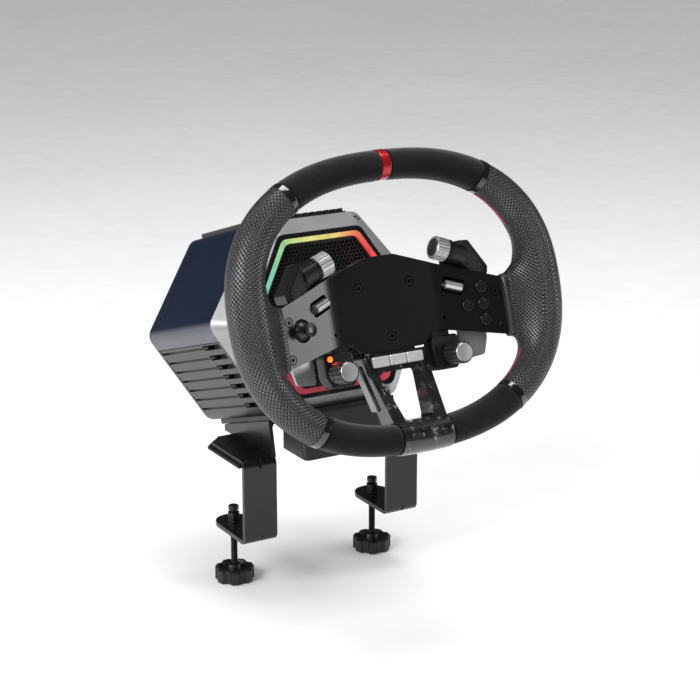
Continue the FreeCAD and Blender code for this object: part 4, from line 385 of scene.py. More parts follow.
LOOKS = {
    "grey_casting": finish_material(
        "casting", (0.026, 0.0265, 0.027), (0.038, 0.0385, 0.0395), rough=(0.36, 0.48), metal=0.25,
        grain=4200.0, grain_depth=0.00001, blotch=40.0),
    "silver_paint": finish_material(
        "silver_paint", (0.26, 0.26, 0.265), (0.31, 0.31, 0.315), rough=(0.32, 0.42), metal=0.45,
        grain=5000.0, grain_depth=0.000006, blotch=30.0),
    "black_gloss": finish_material(
        "black_gloss", (0.004, 0.004, 0.0045), (0.007, 0.007, 0.0075), rough=(0.10, 0.16), grain=900.0,
        grain_depth=0.000003, blotch=30.0, coat=1.0, coat_rough=0.04),
    "grille_black": finish_material(
        "grille", (0.010, 0.010, 0.011), (0.018, 0.018, 0.019), rough=(0.36, 0.46), metal=0.3,
        grain=4000.0, grain_depth=0.00001),
    "light_diffuser": light_ring_material(),
    "blue_panel": finish_material(
        "blue_panel", (0.0009, 0.0044, 0.0175), (0.0013, 0.0060, 0.023), rough=(0.26, 0.32), grain=6000.0,
        grain_depth=0.000003, blotch=25.0, coat=0.4, coat_rough=0.14, spec=0.4),
    "black_metal": finish_material(
        "black_metal", (0.004, 0.004, 0.0043), (0.007, 0.007, 0.0075), rough=(0.32, 0.44), metal=0.1,
        grain=3600.0, grain_depth=0.000006, blotch=50.0, spec=0.42),
    "black_plastic": finish_material(
        "black_plastic", (0.005, 0.005, 0.0053), (0.009, 0.009, 0.0095), rough=(0.34, 0.46), grain=3000.0,
        grain_depth=0.00001, blotch=50.0, spec=0.42),
    "socket_metal": finish_material(
        "socket_metal", (0.35, 0.35, 0.36), (0.5, 0.5, 0.5), rough=(0.2, 0.3), metal=1.0, grain=3000.0,
        grain_depth=0.000005),
    "motor_iron": finish_material(
        "motor_iron", (0.2, 0.2, 0.21), (0.3, 0.3, 0.31), rough=(0.35, 0.5), metal=0.9),
    "bearing_steel": finish_material(
        "bearing_steel", (0.4, 0.4, 0.42), (0.5, 0.5, 0.52), rough=(0.2, 0.3), metal=1.0),
    "circuit_board": finish_material(
        "circuit_board", (0.01, 0.10, 0.04), (0.02, 0.15, 0.06), rough=(0.3, 0.45)),
    "screw_steel": finish_material(
        "screw_steel", (0.012, 0.012, 0.013), (0.022, 0.022, 0.023), rough=(0.24, 0.36), metal=0.6,
        grain_depth=0.00001, wear_and_highlight=0.5),
    "black_steel": finish_material(
        "black_steel", (0.0040, 0.0040, 0.0043), (0.006, 0.006, 0.0065), rough=(0.24, 0.34), metal=0.1,
        grain=3200.0, grain_depth=0.000004, blotch=45.0),
    "pad_rubber": finish_material(
        "pad_rubber", (0.010, 0.010, 0.011), (0.016, 0.016, 0.017), rough=(0.6, 0.75), grain=1500.0,
        grain_depth=0.00004, spec=0.3),
    "shaft_steel": finish_material(
        "shaft_steel", (0.25, 0.25, 0.26), (0.36, 0.36, 0.37), rough=(0.25, 0.38), metal=1.0,
        grain=1200.0),
    "core_aluminium": finish_material(
        "core_aluminium", (0.35, 0.35, 0.36), (0.45, 0.45, 0.46), rough=(0.4, 0.5), metal=1.0),
    "grip_leather": leather_material(),
    "suede": suede_material(),
    "red_band": finish_material(
        "red_band", (0.36, 0.004, 0.010), (0.46, 0.008, 0.015), rough=(0.22, 0.34), metal=0.6,
        grain_depth=0.00001, blotch=80.0, coat=0.6),
    "faceplate_black": finish_material(
        "faceplate", (0.0050, 0.0050, 0.0053), (0.0060, 0.0060, 0.0063), rough=(0.27, 0.29), grain=900.0,
        grain_depth=0.0, blotch=25.0, spec=0.42),
    "hub_aluminium": finish_material(
        "hub_aluminium", (0.02, 0.02, 0.022), (0.035, 0.035, 0.037), rough=(0.3, 0.42), metal=0.8),
    "carbon_gloss": carbon_material(),
    "satin_trim": finish_material(
        "satin_trim", (0.24, 0.24, 0.245), (0.30, 0.30, 0.305), rough=(0.30, 0.40), metal=0.7,
        grain=2600.0, grain_depth=0.00001, stretch=(1, 6, 1)),
    "lens_red": lens_material(),
    "ring_black": finish_material(
        "ring_black", (0.006, 0.006, 0.0065), (0.010, 0.010, 0.011), rough=(0.3, 0.42), metal=0.5),
    "paddle_grey": finish_material(
        "paddle_grey", (0.34, 0.34, 0.345), (0.42, 0.42, 0.425), rough=(0.32, 0.42), metal=0.5,
        grain=3500.0, grain_depth=0.00001),
    "silver_control": finish_material(
        "silver_control", (0.50, 0.50, 0.505), (0.60, 0.60, 0.605), rough=(0.32, 0.42), metal=0.85,
        grain=3000.0, grain_depth=0.000004, blotch=90.0, wear_and_highlight=0.2),
    "black_rubber": finish_material(
        "black_rubber", (0.004, 0.004, 0.0043), (0.008, 0.008, 0.0085), rough=(0.38, 0.50), grain=2600.0,
        wear_and_highlight=0.1, spec=0.42),
    "gimbal_plastic": finish_material(
        "gimbal_plastic", (0.02, 0.02, 0.02), (0.03, 0.03, 0.03), rough=(0.4, 0.5)),
    "silver_key": finish_material(
        "silver_key", (0.62, 0.62, 0.625), (0.70, 0.70, 0.705), rough=(0.26, 0.36), metal=0.5,
        grain=3600.0, grain_depth=0.000006, blotch=70.0, wear_and_highlight=0.2),
    "thread_steel": finish_material(
        "thread_steel", (0.010, 0.010, 0.011), (0.018, 0.018, 0.019), rough=(0.28, 0.38), metal=0.7,
        wear_and_highlight=0.7),
}

for part in frame["record"]["subparts"]:
    obj = NODES[part["node"]]
    obj.data.materials.clear()
    obj.data.materials.append(LOOKS[part["material_slot"]])

# controls whose finish differs from others of the same slot; their strongly lightened edges are painted
# highlights
OWN_LOOKS = {
    "thumb_stick": finish_material(
        "stick_rubber", (0.008, 0.008, 0.0085), (0.014, 0.014, 0.0147), rough=(0.24, 0.34), grain=2600.0,
        wear_and_highlight=0.8, spec=0.6),
    "thumb_encoder": finish_material(
        "encoder_side", (0.020, 0.020, 0.021), (0.034, 0.034, 0.035), rough=(0.24, 0.34), metal=0.4,
        grain=2600.0, grain_depth=0.00001, wear_and_highlight=0.8, spec=0.6),
    "round_button": finish_material(
        "button_rubber", (0.005, 0.005, 0.0053), (0.009, 0.009, 0.0095), rough=(0.26, 0.34), grain=2600.0,
        grain_depth=0.00001, wear_and_highlight=0.8, spec=0.6),
}
for node, obj in NODES.items():
    for start, look in OWN_LOOKS.items():
        if node.startswith(start):
            obj.data.materials[0] = look


# ------------------------------------------------------------------ softened edges on the CAD parts
WELD_DISTANCE = 0.000002
BEVEL_FROM = math.radians(32.0)
# bevel width: starts of the names of the nodes that get it
BEVELS = {
    0.0002: ("joint_rings", "centre_band", "upper_knob", "thumb_encoder", "base_screws", "plate_screws"),
    0.0003: ("bezel_ring", "led_ring", "top_vent", "toggle", "spoke_key", "quick_release_ring"),
    0.0004: ("faceplate", "spoke_trims", "base_housing", "side_panels", "rear_cover", "desk_pads",
             "rear_housing", "wheel_hub", "steering_shaft"),
    0.0005: ("base_plate", "paddle", "clamp_knob", "lower_pods", "round_button"),
    0.0006: ("front_cover", "clamp_bracket", "upper_pods"),
    0.0007: ("spoke_frame",),
    0.0008: ("foot_cover",),
}


def soften(obj, width):
    """Small rounded edges with smooth shading, by modifiers only."""
    weld = obj.modifiers.new("weld", "WELD")
    weld.merge_threshold = WELD_DISTANCE
    bevel = obj.modifiers.new("bevel", "BEVEL")
    bevel.width = width
    bevel.segments = 2
    bevel.limit_method = "ANGLE"
    bevel.angle_limit = BEVEL_FROM
    bevel.use_clamp_overlap = True
    even = obj.modifiers.new("even", "WEIGHTED_NORMAL")
    even.mode = "FACE_AREA_WITH_ANGLE"
    even.weight = 100
    even.keep_sharp = True


for width, starts in BEVELS.items():
    for node, obj in NODES.items():
        if node.startswith(starts):
            soften(obj, width)


# ------------------------------------------------------------------ mesh helpers
SHARP_FROM = math.radians(34.0)
HIT_REACH = 0.2
TO_WHEEL = WHEEL.inverted()


def linked(name, data):
    """A new object in the scene."""
    obj = bpy.data.objects.new(name, data)
    bpy.context.scene.collection.objects.link(obj)
    return obj


def make_object(name, verts, faces, material, body):
    """A smooth-shaded piece from scene points, riding with a body."""
    mesh = bpy.data.meshes.new(name)
    mesh.from_pydata([tuple(v) for v in verts], [], faces)
    mesh.update()
    obj = linked(name, mesh)
    mesh.materials.append(material)
    mesh.polygons.foreach_set("use_smooth", [True] * len(mesh.polygons))
    mesh.set_sharp_from_angle(angle=SHARP_FROM)
    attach(obj, body)
    return obj


def grid_faces(rows, columns):
    """Quads between rows of points that close on themselves."""
    faces = []
    for i in range(rows - 1):
        for j in range(columns):
            k = (j + 1) % columns
            here, ahead = i * columns, (i + 1) * columns
            faces.append((here + j, here + k, ahead + k, ahead + j))
    return faces


def tube_faces(rows, columns, base):
    """A closed tube whose points start at base, with both ends capped."""
    faces = [tuple(base + k for k in face) for face in grid_faces(rows, columns)]
    faces.append(tuple(base + j for j in range(columns)))
    faces.append(tuple(base + (rows - 1) * columns + j for j in reversed(range(columns))))
    return faces


def surface_hit(tree, u, v, start_w, end_w):
    """Where a line along the wheel's axis meets a mesh: point and normal in the wheel frame, or None."""
    start = to_row((u, v, start_w))
    aim = (to_row((u, v, end_w)) - start).normalized()
    spot, normal, _, _ = tree.ray_cast(start, aim, HIT_REACH)
    if spot is None:
        return None
    return TO_WHEEL @ spot, (TO_WHEEL.to_3x3() @ normal).normalized()


def set_skin(mesh, values):
    """Coordinates that the leather's perforation follows: along, around, and 1 where it is perforated."""
    attribute = mesh.attributes.new("skin", "FLOAT_VECTOR", "POINT")
    attribute.data.foreach_set("vector", np.asarray(values, np.float32).ravel())


LENGTH_SAMPLES = 200
TUBE_STEP = 0.002
TUCK_DEPTH = 0.0010
SUEDE_ROLL = 0.0022
SUEDE_AROUND, GRIP_AROUND = 64, 72


def tube_arrays(start, end, around, roll):
    """Rim tube between two polar angles with rolled-under ends, and its skin coordinates."""
    span = end - start
    samples = [rim_point(start + span * i / LENGTH_SAMPLES) for i in range(LENGTH_SAMPLES + 1)]
    total = sum((b - a).length for a, b in zip(samples, samples[1:]))
    count = max(8, int(total / TUBE_STEP))
    verts, skin = [], []
    along_length = 0.0
    previous = None
    for i in range(count + 1):
        deg = start + span * i / count
        here = rim_point(deg)
        if previous is not None:
            along_length += (here - previous).length
        previous = here
        edge = min(along_length, total - along_length)
        tuck = -TUCK_DEPTH * max(0.0, 1.0 - edge / roll) ** 2 if roll else 0.0
        radial, depth = rim_size(deg)
        for j in range(around):
            phi = 2.0 * math.pi * j / around
            verts.append(rim_surface(deg, phi, tuck)[0])
            skin.append((along_length, (radial + depth) * 0.5 * phi, 1.0))
    return verts, skin, count + 1


def suede_piece(name, spans, node):
    """Napped cover over stretches of the rim, in place of its CAD solid."""
    verts, faces, skin = [], [], []
    for start, end in spans:
        tube, tube_skin, rows = tube_arrays(start, end, SUEDE_AROUND, SUEDE_ROLL)
        faces += tube_faces(rows, SUEDE_AROUND, len(verts))
        verts += tube
        skin += tube_skin
    obj = make_object(name, [to_row(v) for v in verts], faces, LOOKS["suede"], "wheel")
    set_skin(obj.data, skin)
    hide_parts(node)


RING_GAP = deg_of_length(RING_DEG, RING_HALF)
BAND_GAP = deg_of_length(90.0, BAND_HALF)
suede_piece("suede_top_cover", [(RING_DEG + RING_GAP, 90.0 - BAND_GAP),
                                (90.0 + BAND_GAP, 180.0 - RING_DEG - RING_GAP)], "suede_top")
suede_piece("suede_bottom_cover", [(-90.0 + SLEEVE_DEG, -RING_DEG - RING_GAP),
                                   (-180.0 + RING_DEG + RING_GAP, -90.0 - SLEEVE_DEG)], "suede_bottom")


# ------------------------------------------------------------------ leather grips with boots
LOOKUP_DEG, LOOKUP_POINTS = 75.0, 601
BOOT_REACH, BOOT_LENGTH, BOOT_SHELL = 0.025, 0.032, 0.030
BOOT_SHELL_RINGS = 14
BOOT_DEPTH_POWER, BOOT_ROOT = 3.0, 3.4
BOOT_OUTWARD = 0.002
BOOT_BLEND = 0.009
BOOT_ZONE_V = 0.042
FLANK = 0.0090
GRIP_VOXEL = 0.0013
SMOOTH_ROUNDS = 14
PULL_ROUNDS, PULL_PROBE, PULL_LIMIT = 4, 0.0004, 0.0015
CREASE_AT, CREASE_WIDTH, CREASE_DEPTH = 0.0042, 0.0009, 0.0008
HEM_FADE = 0.0008
TINY = 1e-9


def boot_width(step):
    """Half height, half depth and centre of the boot at a distance past its start."""
    xs = [s[0] for s in BOOT_STEPS]
    gv = np.interp(step, xs, [s[1] for s in BOOT_STEPS])
    gw = np.interp(step, xs, [s[2] for s in BOOT_STEPS])
    return BOOT_HALF_V + gv, BOOT_HALF_W + gw, BOOT_CENTRE_W + BOOT_W_RISE * step


def rim_lookup():
    """Centreline points, outward directions, half sizes and lengths along the side of the rim."""
    degs = np.linspace(-LOOKUP_DEG, LOOKUP_DEG, LOOKUP_POINTS)
    pts = np.array([rim_point(d)[:] for d in degs])
    frames = [rim_frame(d) for d in degs]
    outs = np.array([f[2][:] for f in frames])
    sizes = np.array([rim_size(d) for d in degs])
    seg = np.linalg.norm(np.diff(pts, axis=0), axis=1)
    length = np.concatenate([[0.0], np.cumsum(seg)])
    return pts, outs, sizes, length


SIDE_POINTS, SIDE_OUTS, SIDE_SIZES, SIDE_LENGTHS = rim_lookup()


def nearest_on_rim(points):
    """For points on the right side: index on the centreline, offsets inward and in depth, and length."""
    flat = points[:, None, :2] - SIDE_POINTS[None, :, :2]
    index = np.argmin((flat ** 2).sum(2), axis=1)
    delta = points - SIDE_POINTS[index]
    out = SIDE_OUTS[index]
    inward = -(delta[:, :2] * out[:, :2]).sum(1)
    ahead = delta[:, 1] * out[:, 0] - delta[:, 0] * out[:, 1]
    return index, inward, delta[:, 2], SIDE_LENGTHS[index] + ahead


def smooth_union(a, b, k):
    """The nearer of two distances, blended over k."""
    h = np.clip(0.5 + 0.5 * (b - a) / k, 0.0, 1.0)
    return b * (1 - h) + a * h - k * h * (1 - h)


def boot_step(u):
    """Distance past the boot's start, held within its sloping part."""
    return np.clip(u - BOOT_START_U, 0.0, BOOT_REACH)


def grip_distance(points):
    """Signed distance, roughly, to the rim tube blended with the boot that runs onto the plate."""
    index, inward, dw, _ = nearest_on_rim(points)
    sizes = SIDE_SIZES[index]
    scaled = np.sqrt((inward / sizes[:, 0]) ** 2 + (dw / sizes[:, 1]) ** 2)
    tube = (scaled - 1.0) * sizes.mean(1)
    u, v, w = points[:, 0], points[:, 1], points[:, 2]
    half_v, half_w, centre_w = boot_width(boot_step(u))
    dv = np.abs(v - BOOT_CENTRE_V) / half_v
    dz = np.abs(w - centre_w) / half_w
    shape = (dv ** BOOT_POWER + dz ** BOOT_DEPTH_POWER) ** (1.0 / BOOT_ROOT)
    boot = (shape - 1.0) * np.minimum(half_v, half_w)
    boot = np.maximum(boot, BOOT_START_U - u)
    boot = np.maximum(boot, u - (BOOT_START_U + BOOT_LENGTH))
    boot = np.maximum(boot, -inward - BOOT_OUTWARD)
    return smooth_union(tube, boot, BOOT_BLEND)


def skin_coordinates(points):
    """Length along the rim and around it: round the tube to its inner flank, then straight over the boot."""
    index, inward, dw, along = nearest_on_rim(points)
    radial, depth = SIDE_SIZES[index].T
    size = (radial + depth) * 0.5
    edge = depth * np.sqrt(1.0 - (FLANK / radial) ** 2)
    turn = np.arctan2(FLANK, edge)
    centre_w = BOOT_CENTRE_W + BOOT_W_RISE * boot_step(points[:, 0])
    front = points[:, 2] > centre_w
    past = inward - FLANK
    on_front = size * turn + np.hypot(past, edge - dw)
    on_back = size * (math.pi - turn) - np.hypot(past, edge + dw)
    around = np.where(inward <= FLANK, size * np.arctan2(inward, dw), np.where(front, on_front, on_back))
    return np.stack([along, around, np.ones(len(points))], axis=1)


def squircle(value, half):
    """One coordinate of the boot's squared-off oval, from a cosine or sine."""
    return math.copysign(abs(value) ** (2.0 / BOOT_POWER), value) * half


def grip_mesh():
    """A tube grid and a boot shell that overlap, ready to be remeshed into one skin."""
    verts, _, rows = tube_arrays(-RING_DEG + RING_GAP, RING_DEG - RING_GAP, GRIP_AROUND, 0.0)
    faces = tube_faces(rows, GRIP_AROUND, 0)
    base = len(verts)
    for i in range(BOOT_SHELL_RINGS):
        step = BOOT_SHELL * i / (BOOT_SHELL_RINGS - 1)
        half_v, half_w, centre_w = boot_width(min(step, BOOT_REACH))
        for j in range(GRIP_AROUND):
            a = 2.0 * math.pi * j / GRIP_AROUND
            verts.append(Vector((BOOT_START_U + step, BOOT_CENTRE_V + squircle(math.cos(a), half_v),
                                 centre_w + squircle(math.sin(a), half_w))))
    return verts, faces + tube_faces(BOOT_SHELL_RINGS, GRIP_AROUND, base)


def remeshed_grip(name):
    """The right grip as one even mesh, in the wheel frame."""
    verts, faces = grip_mesh()
    mesh = bpy.data.meshes.new(name)
    mesh.from_pydata([tuple(v) for v in verts], [], faces)
    obj = linked(name, mesh)
    remesh = obj.modifiers.new("remesh", "REMESH")
    remesh.mode = "VOXEL"
    remesh.voxel_size = GRIP_VOXEL
    remesh.adaptivity = 0.0
    smooth = obj.modifiers.new("smooth", "SMOOTH")
    smooth.factor = 0.5
    smooth.iterations = SMOOTH_ROUNDS
    evaluated = obj.evaluated_get(bpy.context.evaluated_depsgraph_get())
    result = bpy.data.meshes.new_from_object(evaluated)
    obj.modifiers.clear()
    obj.data = result
    bpy.data.meshes.remove(mesh)
    result.name = name
    return obj


def pulled_onto_grip(points):
    """Moves points onto the blended surface by a few Newton steps, and gives the last gradient."""
    for _ in range(PULL_ROUNDS):
        value = grip_distance(points)
        grad = np.stack([(grip_distance(points + off) - value) / PULL_PROBE
                         for off in np.eye(3) * PULL_PROBE], axis=1)
        size = np.maximum((grad ** 2).sum(1), 0.25)
        move = -(value / size)[:, None] * grad
        norm = np.linalg.norm(move, axis=1, keepdims=True)
        points += move * np.minimum(1.0, PULL_LIMIT / np.maximum(norm, TINY))
    return points, grad


def add_welt(points, grad, skin):
    """Presses a crease near the boot's end, and keeps the welt before it free of perforation."""
    past_start = points[:, 0] - BOOT_START_U
    on_boot = np.abs(points[:, 1] - BOOT_CENTRE_V) < BOOT_ZONE_V
    crease = np.where(on_boot, np.exp(-((past_start - CREASE_AT) / CREASE_WIDTH) ** 2), 0.0)
    slope = grad / np.maximum(np.linalg.norm(grad, axis=1, keepdims=True), TINY)
    points -= slope * (CREASE_DEPTH * crease)[:, None]
    past_hem = np.clip((points[:, 0] - (BOOT_START_U + HEM_WIDTH)) / HEM_FADE, 0.0, 1.0)
    skin[:, 2] = np.where(on_boot, past_hem, 1.0)


def build_grip(side, name, node):
    """One leather skin for tube and boot. The left one is the right one mirrored."""
    obj = remeshed_grip(name)
    mesh = obj.data
    points = np.empty(len(mesh.vertices) * 3, np.float32)
    mesh.vertices.foreach_get("co", points)
    points, grad = pulled_onto_grip(points.reshape(-1, 3).astype(float))
    skin = skin_coordinates(points)
    add_welt(points, grad, skin)
    if side < 0:
        points[:, 0] *= -1.0
    placed = np.array([to_row(p)[:] for p in points])
    mesh.vertices.foreach_set("co", placed.astype(np.float32).ravel())
    if side < 0:
        mesh.flip_normals()
    set_skin(mesh, skin)
    mesh.materials.clear()
    mesh.materials.append(LOOKS["grip_leather"])
    mesh.polygons.foreach_set("use_smooth", [True] * len(mesh.polygons))
    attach(obj, "wheel")
    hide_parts(node)
    return obj


GRIPS = [build_grip(side, "leather_grip_" + word, "grip_" + word) for side, word in SIDES]


# ------------------------------------------------------------------ stitching
STITCH_STEPS, STITCH_SIDES = 6, 6
STITCH_TIP = 0.45
STITCH_RISE = 0.0002
STITCH_ADVANCE = 0.75
RED_THREAD = thread_material("red_thread", (0.30, 0.008, 0.018), (0.52, 0.02, 0.035))
DARK_THREAD = thread_material("dark_thread", (0.010, 0.010, 0.011), (0.03, 0.03, 0.032))


def capsule(a, b, radius, up, arch):
    """A short thread between two points, arched along up."""
    verts = []
    side = (b - a).normalized().cross(up).normalized()
    for i in range(STITCH_STEPS + 1):
        t = i / STITCH_STEPS
        lift = math.sin(math.pi * t)
        centre = a.lerp(b, t) + up * (arch * lift)
        r = radius * (STITCH_TIP + (1.0 - STITCH_TIP) * min(1.0, 3.0 * lift))
        for j in range(STITCH_SIDES):
            ang = 2.0 * math.pi * j / STITCH_SIDES
            verts.append(centre + side * (math.cos(ang) * r) + up * (math.sin(ang) * r))
    return verts


def stitch_line(name, material, pairs, radius, arch):
    """All stitches of one seam as a single piece: pairs are two ends and an upward direction."""
    verts, faces = [], []
    for a, b, up in pairs:
        faces += tube_faces(STITCH_STEPS + 1, STITCH_SIDES, len(verts))
        verts += [to_row(p) for p in capsule(a, b, radius, up, arch)]
    make_object(name, verts, faces, material, "wheel")


def inner_seam(start, end, pitch, width, phi, side):
    """Crossing stitches on the inner side of the rim between two polar angles."""
    pairs = []
    deg = start
    while deg < end:
        step = deg_of_length(deg, pitch)
        radial, depth = rim_size(deg)
        spread = width / (radial + depth)
        first = rim_surface(deg, phi - spread, STITCH_RISE)
        second = rim_surface(deg + step * STITCH_ADVANCE, phi + spread, STITCH_RISE)
        third = rim_surface(deg + step * STITCH_ADVANCE, phi - spread, STITCH_RISE)
        fourth = rim_surface(deg, phi + spread, STITCH_RISE)
        for p, q in ((first, second), (third, fourth)):
            a, b = p[0].copy(), q[0].copy()
            up = (p[1] + q[1]).normalized()
            if side < 0:
                a.x, b.x, up.x = -a.x, -b.x, -up.x
            pairs.append((a, b, up))
        deg += step
    return pairs


# the red seam stops short of the rings and of the boot between them
RED_PHI, RED_PITCH, RED_WIDTH = math.radians(96.0), 0.0034, 0.0030
RED_RUNS = ((-RING_DEG + 1.5, -29.0), (24.0, RING_DEG - 1.5))
red_pairs = []
for side in (1, -1):
    for start, end in RED_RUNS:
        red_pairs += inner_seam(start, end, RED_PITCH, RED_WIDTH, RED_PHI, side)
stitch_line("red_stitching", RED_THREAD, red_pairs, radius=0.00034, arch=0.0002)


# ------------------------------------------------------------------ turned pieces on controls and cover
LATHE_STEPS, SCREW_STEPS = 64, 40


def lathe(name, profile, origin, axis, material, body, steps=LATHE_STEPS, bored=False):
    """Closed turned piece of (radius, height) points, capped at both ends or joined up round a bore."""
    spin = axis.to_track_quat("Z", "Y")
    verts = []
    for radius, height in profile:
        for j in range(steps):
            a = 2.0 * math.pi * j / steps
            verts.append(origin + spin @ Vector((radius * math.cos(a), radius * math.sin(a), height)))
    faces = grid_faces(len(profile) + bored, steps)
    if bored:
        faces = [tuple(k % len(verts) for k in face) for face in faces]
    else:
        faces.append(tuple(reversed(range(steps))))
        faces.append(tuple((len(profile) - 1) * steps + j for j in range(steps)))
    make_object(name, [to_row(v) for v in verts], faces, material, body)


KNOB_U, KNOB_V, KNOB_W, KNOB_RISE = 0.0556, 0.037, 0.0026, math.radians(20.0)
KNOB_HALF = 0.006
COLLAR_GAP = 0.0010
ENCODER_U, ENCODER_V, ENCODER_FRONT = 0.0549, -0.0508, 0.0187
COLLAR_RING = ((0.0079, -0.0001), (0.0094, 0.0), (0.0097, -0.0004), (0.0097, -0.0022), (0.0092, -0.0028),
               (0.0088, -0.0034), (0.0088, -0.0052), (0.0084, -0.0056), (0.0079, -0.0056))
KNOB_DISC = ((0.0072, -0.0012), (0.0074, 0.0001), (0.0070, 0.0005), (0.0052, 0.0004), (0.0046, 0.0001),
             (0.0008, 0.0001))
ENCODER_FACE = ((0.0078, -0.0010), (0.0078, 0.0002), (0.0074, 0.0006), (0.0030, 0.0008), (0.0004, 0.0008))
CAP_FINISH = finish_material(
    "knob_cap", (0.035, 0.035, 0.036), (0.055, 0.055, 0.057), rough=(0.28, 0.4), metal=0.7,
    grain_depth=0.00001)


def dress_knobs(side, word):
    """Collar and end disc on an upper knob, whose free end points inwards and up, and an encoder's face."""
    axis = Vector((-side * math.cos(KNOB_RISE), math.sin(KNOB_RISE), 0.0))
    centre = Vector((side * KNOB_U, KNOB_V, KNOB_W))
    lathe("knob_collar_" + word, COLLAR_RING, centre - axis * (KNOB_HALF + COLLAR_GAP), axis,
          LOOKS["ring_black"], "wheel", bored=True)
    lathe("knob_end_" + word, KNOB_DISC, centre + axis * KNOB_HALF, axis, CAP_FINISH,
          "upper_knob_%s_body" % word)
    lathe("encoder_face_" + word, ENCODER_FACE, Vector((side * ENCODER_U, ENCODER_V, ENCODER_FRONT)),
          Vector((0, 0, 1)), LOOKS["silver_control"], "thumb_encoder_%s_body" % word)


for side, word in SIDES:
    dress_knobs(side, word)


# depth below its top at which the stick still counts as its end
STICK_EDGE = 0.0012
STICK_CAP = ((0.0051, -0.0028), (0.0056, -0.0022), (0.0058, -0.0008), (0.0056, 0.0001), (0.0050, 0.0005),
             (0.0044, 0.0003), (0.0038, -0.0001), (0.0024, -0.0004), (0.0006, -0.0005))


def cap_stick():
    """Dished cap over the stick's end, square to the left wing."""
    stick = NODES["thumb_stick"]
    axis = Vector((math.sin(WING_TILT), 0.0, math.cos(WING_TILT)))
    points = [TO_WHEEL @ (stick.matrix_world @ v.co) for v in stick.data.vertices]
    top = max(axis.dot(p) for p in points)
    edge = [p for p in points if axis.dot(p) > top - STICK_EDGE]
    centre = sum(edge, Vector()) / len(edge)
    centre += axis * (top - axis.dot(centre))
    lathe("stick_cap", STICK_CAP, centre, axis, OWN_LOOKS["thumb_stick"], "thumb_stick_body")


cap_stick()


COVER_SCREW_U, COVER_SCREW_V = 0.0455, 0.0775
COVER_PROBE = (-0.060, -0.100)
COVER_SCREW = ((0.0031, -0.0006), (0.0031, 0.0002), (0.0027, 0.0004), (0.0023, 0.0001), (0.0014, 0.0000),
               (0.0013, -0.0004), (0.0003, -0.0004))


def screw_cover():
    """Screws in the two upper corners of the front cover, set square to its face."""
    cover = NODES["front_cover"]
    tree = BVHTree.FromPolygons([cover.matrix_world @ v.co for v in cover.data.vertices],
                                [p.vertices[:] for p in cover.data.polygons])
    for side, word in SIDES:
        spot, normal = surface_hit(tree, side * COVER_SCREW_U, COVER_SCREW_V, *COVER_PROBE)
        lathe("cover_screw_" + word, COVER_SCREW, spot, normal, LOOKS["screw_steel"], "base",
              SCREW_STEPS)


screw_cover()


# ------------------------------------------------------------------ ribbed pads on the pods
PAD_FRONT, PAD_THICKNESS = 0.0096, 0.0012
PAD_RIBS, PAD_RIB_DEG, PAD_GROOVE = 12, 58.0, 0.00045
# share of a rib's pitch within which a point belongs to the groove between two ribs
GROOVE_SHARE = 0.1
POD_PAD = ((0.0728, 0.0255), (0.0745, 0.0375), (0.0795, 0.0375),
           (0.0915, 0.0180), (0.0900, 0.0130), (0.0835, 0.0145))


def pad_piece(name, outline, direction, material, body):
    """Rubber pad with parallel grooves pressed into its face, bounded by a polygon in the wheel frame."""
    mesh = bmesh.new()
    low = [mesh.verts.new((x, y, PAD_FRONT - PAD_THICKNESS)) for x, y in outline]
    base = mesh.faces.new(low)
    if base.normal.z < 0:
        base.normal_flip()
    top = bmesh.ops.extrude_face_region(mesh, geom=[base])
    verts = [g for g in top["geom"] if isinstance(g, bmesh.types.BMVert)]
    for v in verts:
        v.co.z = PAD_FRONT
    normal = Vector((math.cos(direction), math.sin(direction), 0.0))
    spans = [normal.dot(Vector((x, y, 0.0))) for x, y in outline]
    pitch = (max(spans) - min(spans)) / PAD_RIBS
    for i in range(1, 2 * PAD_RIBS):
        place = normal * (min(spans) + i * pitch * 0.5)
        geometry = mesh.verts[:] + mesh.edges[:] + mesh.faces[:]
        bmesh.ops.bisect_plane(mesh, geom=geometry, plane_co=place, plane_no=normal)
    for v in mesh.verts:
        if v.co.z > PAD_FRONT - PAD_THICKNESS * 0.5:
            phase = (normal.dot(v.co) - min(spans)) / pitch
            if abs(phase - round(phase)) < GROOVE_SHARE:
                v.co.z -= PAD_GROOVE
    bmesh.ops.recalc_face_normals(mesh, faces=mesh.faces[:])
    data = bpy.data.meshes.new(name)
    for v in mesh.verts:
        v.co = to_row(v.co)
    mesh.to_mesh(data)
    mesh.free()
    obj = linked(name, data)
    data.materials.append(material)
    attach(obj, body)


for side, word in SIDES:
    outline = [(side * x, y) for x, y in POD_PAD]
    across = PAD_RIB_DEG if side > 0 else 180.0 - PAD_RIB_DEG
    pad_piece("pod_pad_" + word, outline, math.radians(across), LOOKS["black_rubber"], "wheel")


# ------------------------------------------------------------------ hem and seams of the covers
HEM_ROWS = (0.0014, 0.0062)
HEM_STITCHES = 22
HEM_HALF_V = 0.024
HEM_PROBE = 0.05
STITCH_ENDS = (0.12, 0.80)
SUEDE_PHI, SUEDE_PITCH, SUEDE_WIDTH = math.radians(100.0), 0.0042, 0.0026
SUEDE_RUNS = ((RING_DEG + 2.5, 87.0), (-90.0 + SLEEVE_DEG + 1.5, -RING_DEG - 2.5))


def hem_stitches(tree, side, face, row):
    """Straight stitches up one face of a boot, laid on the leather itself."""
    pairs = []
    u = side * (BOOT_START_U + row)
    start_w = BOOT_CENTRE_W + face * HEM_PROBE
    for i in range(HEM_STITCHES):
        spots = [BOOT_CENTRE_V + ((i + part) / HEM_STITCHES - 0.5) * 2.0 * HEM_HALF_V
                 for part in STITCH_ENDS]
        first, second = [surface_hit(tree, u, v, start_w, BOOT_CENTRE_W) for v in spots]
        if first and second:
            pairs.append((first[0], second[0], (first[1] + second[1]).normalized()))
    return pairs


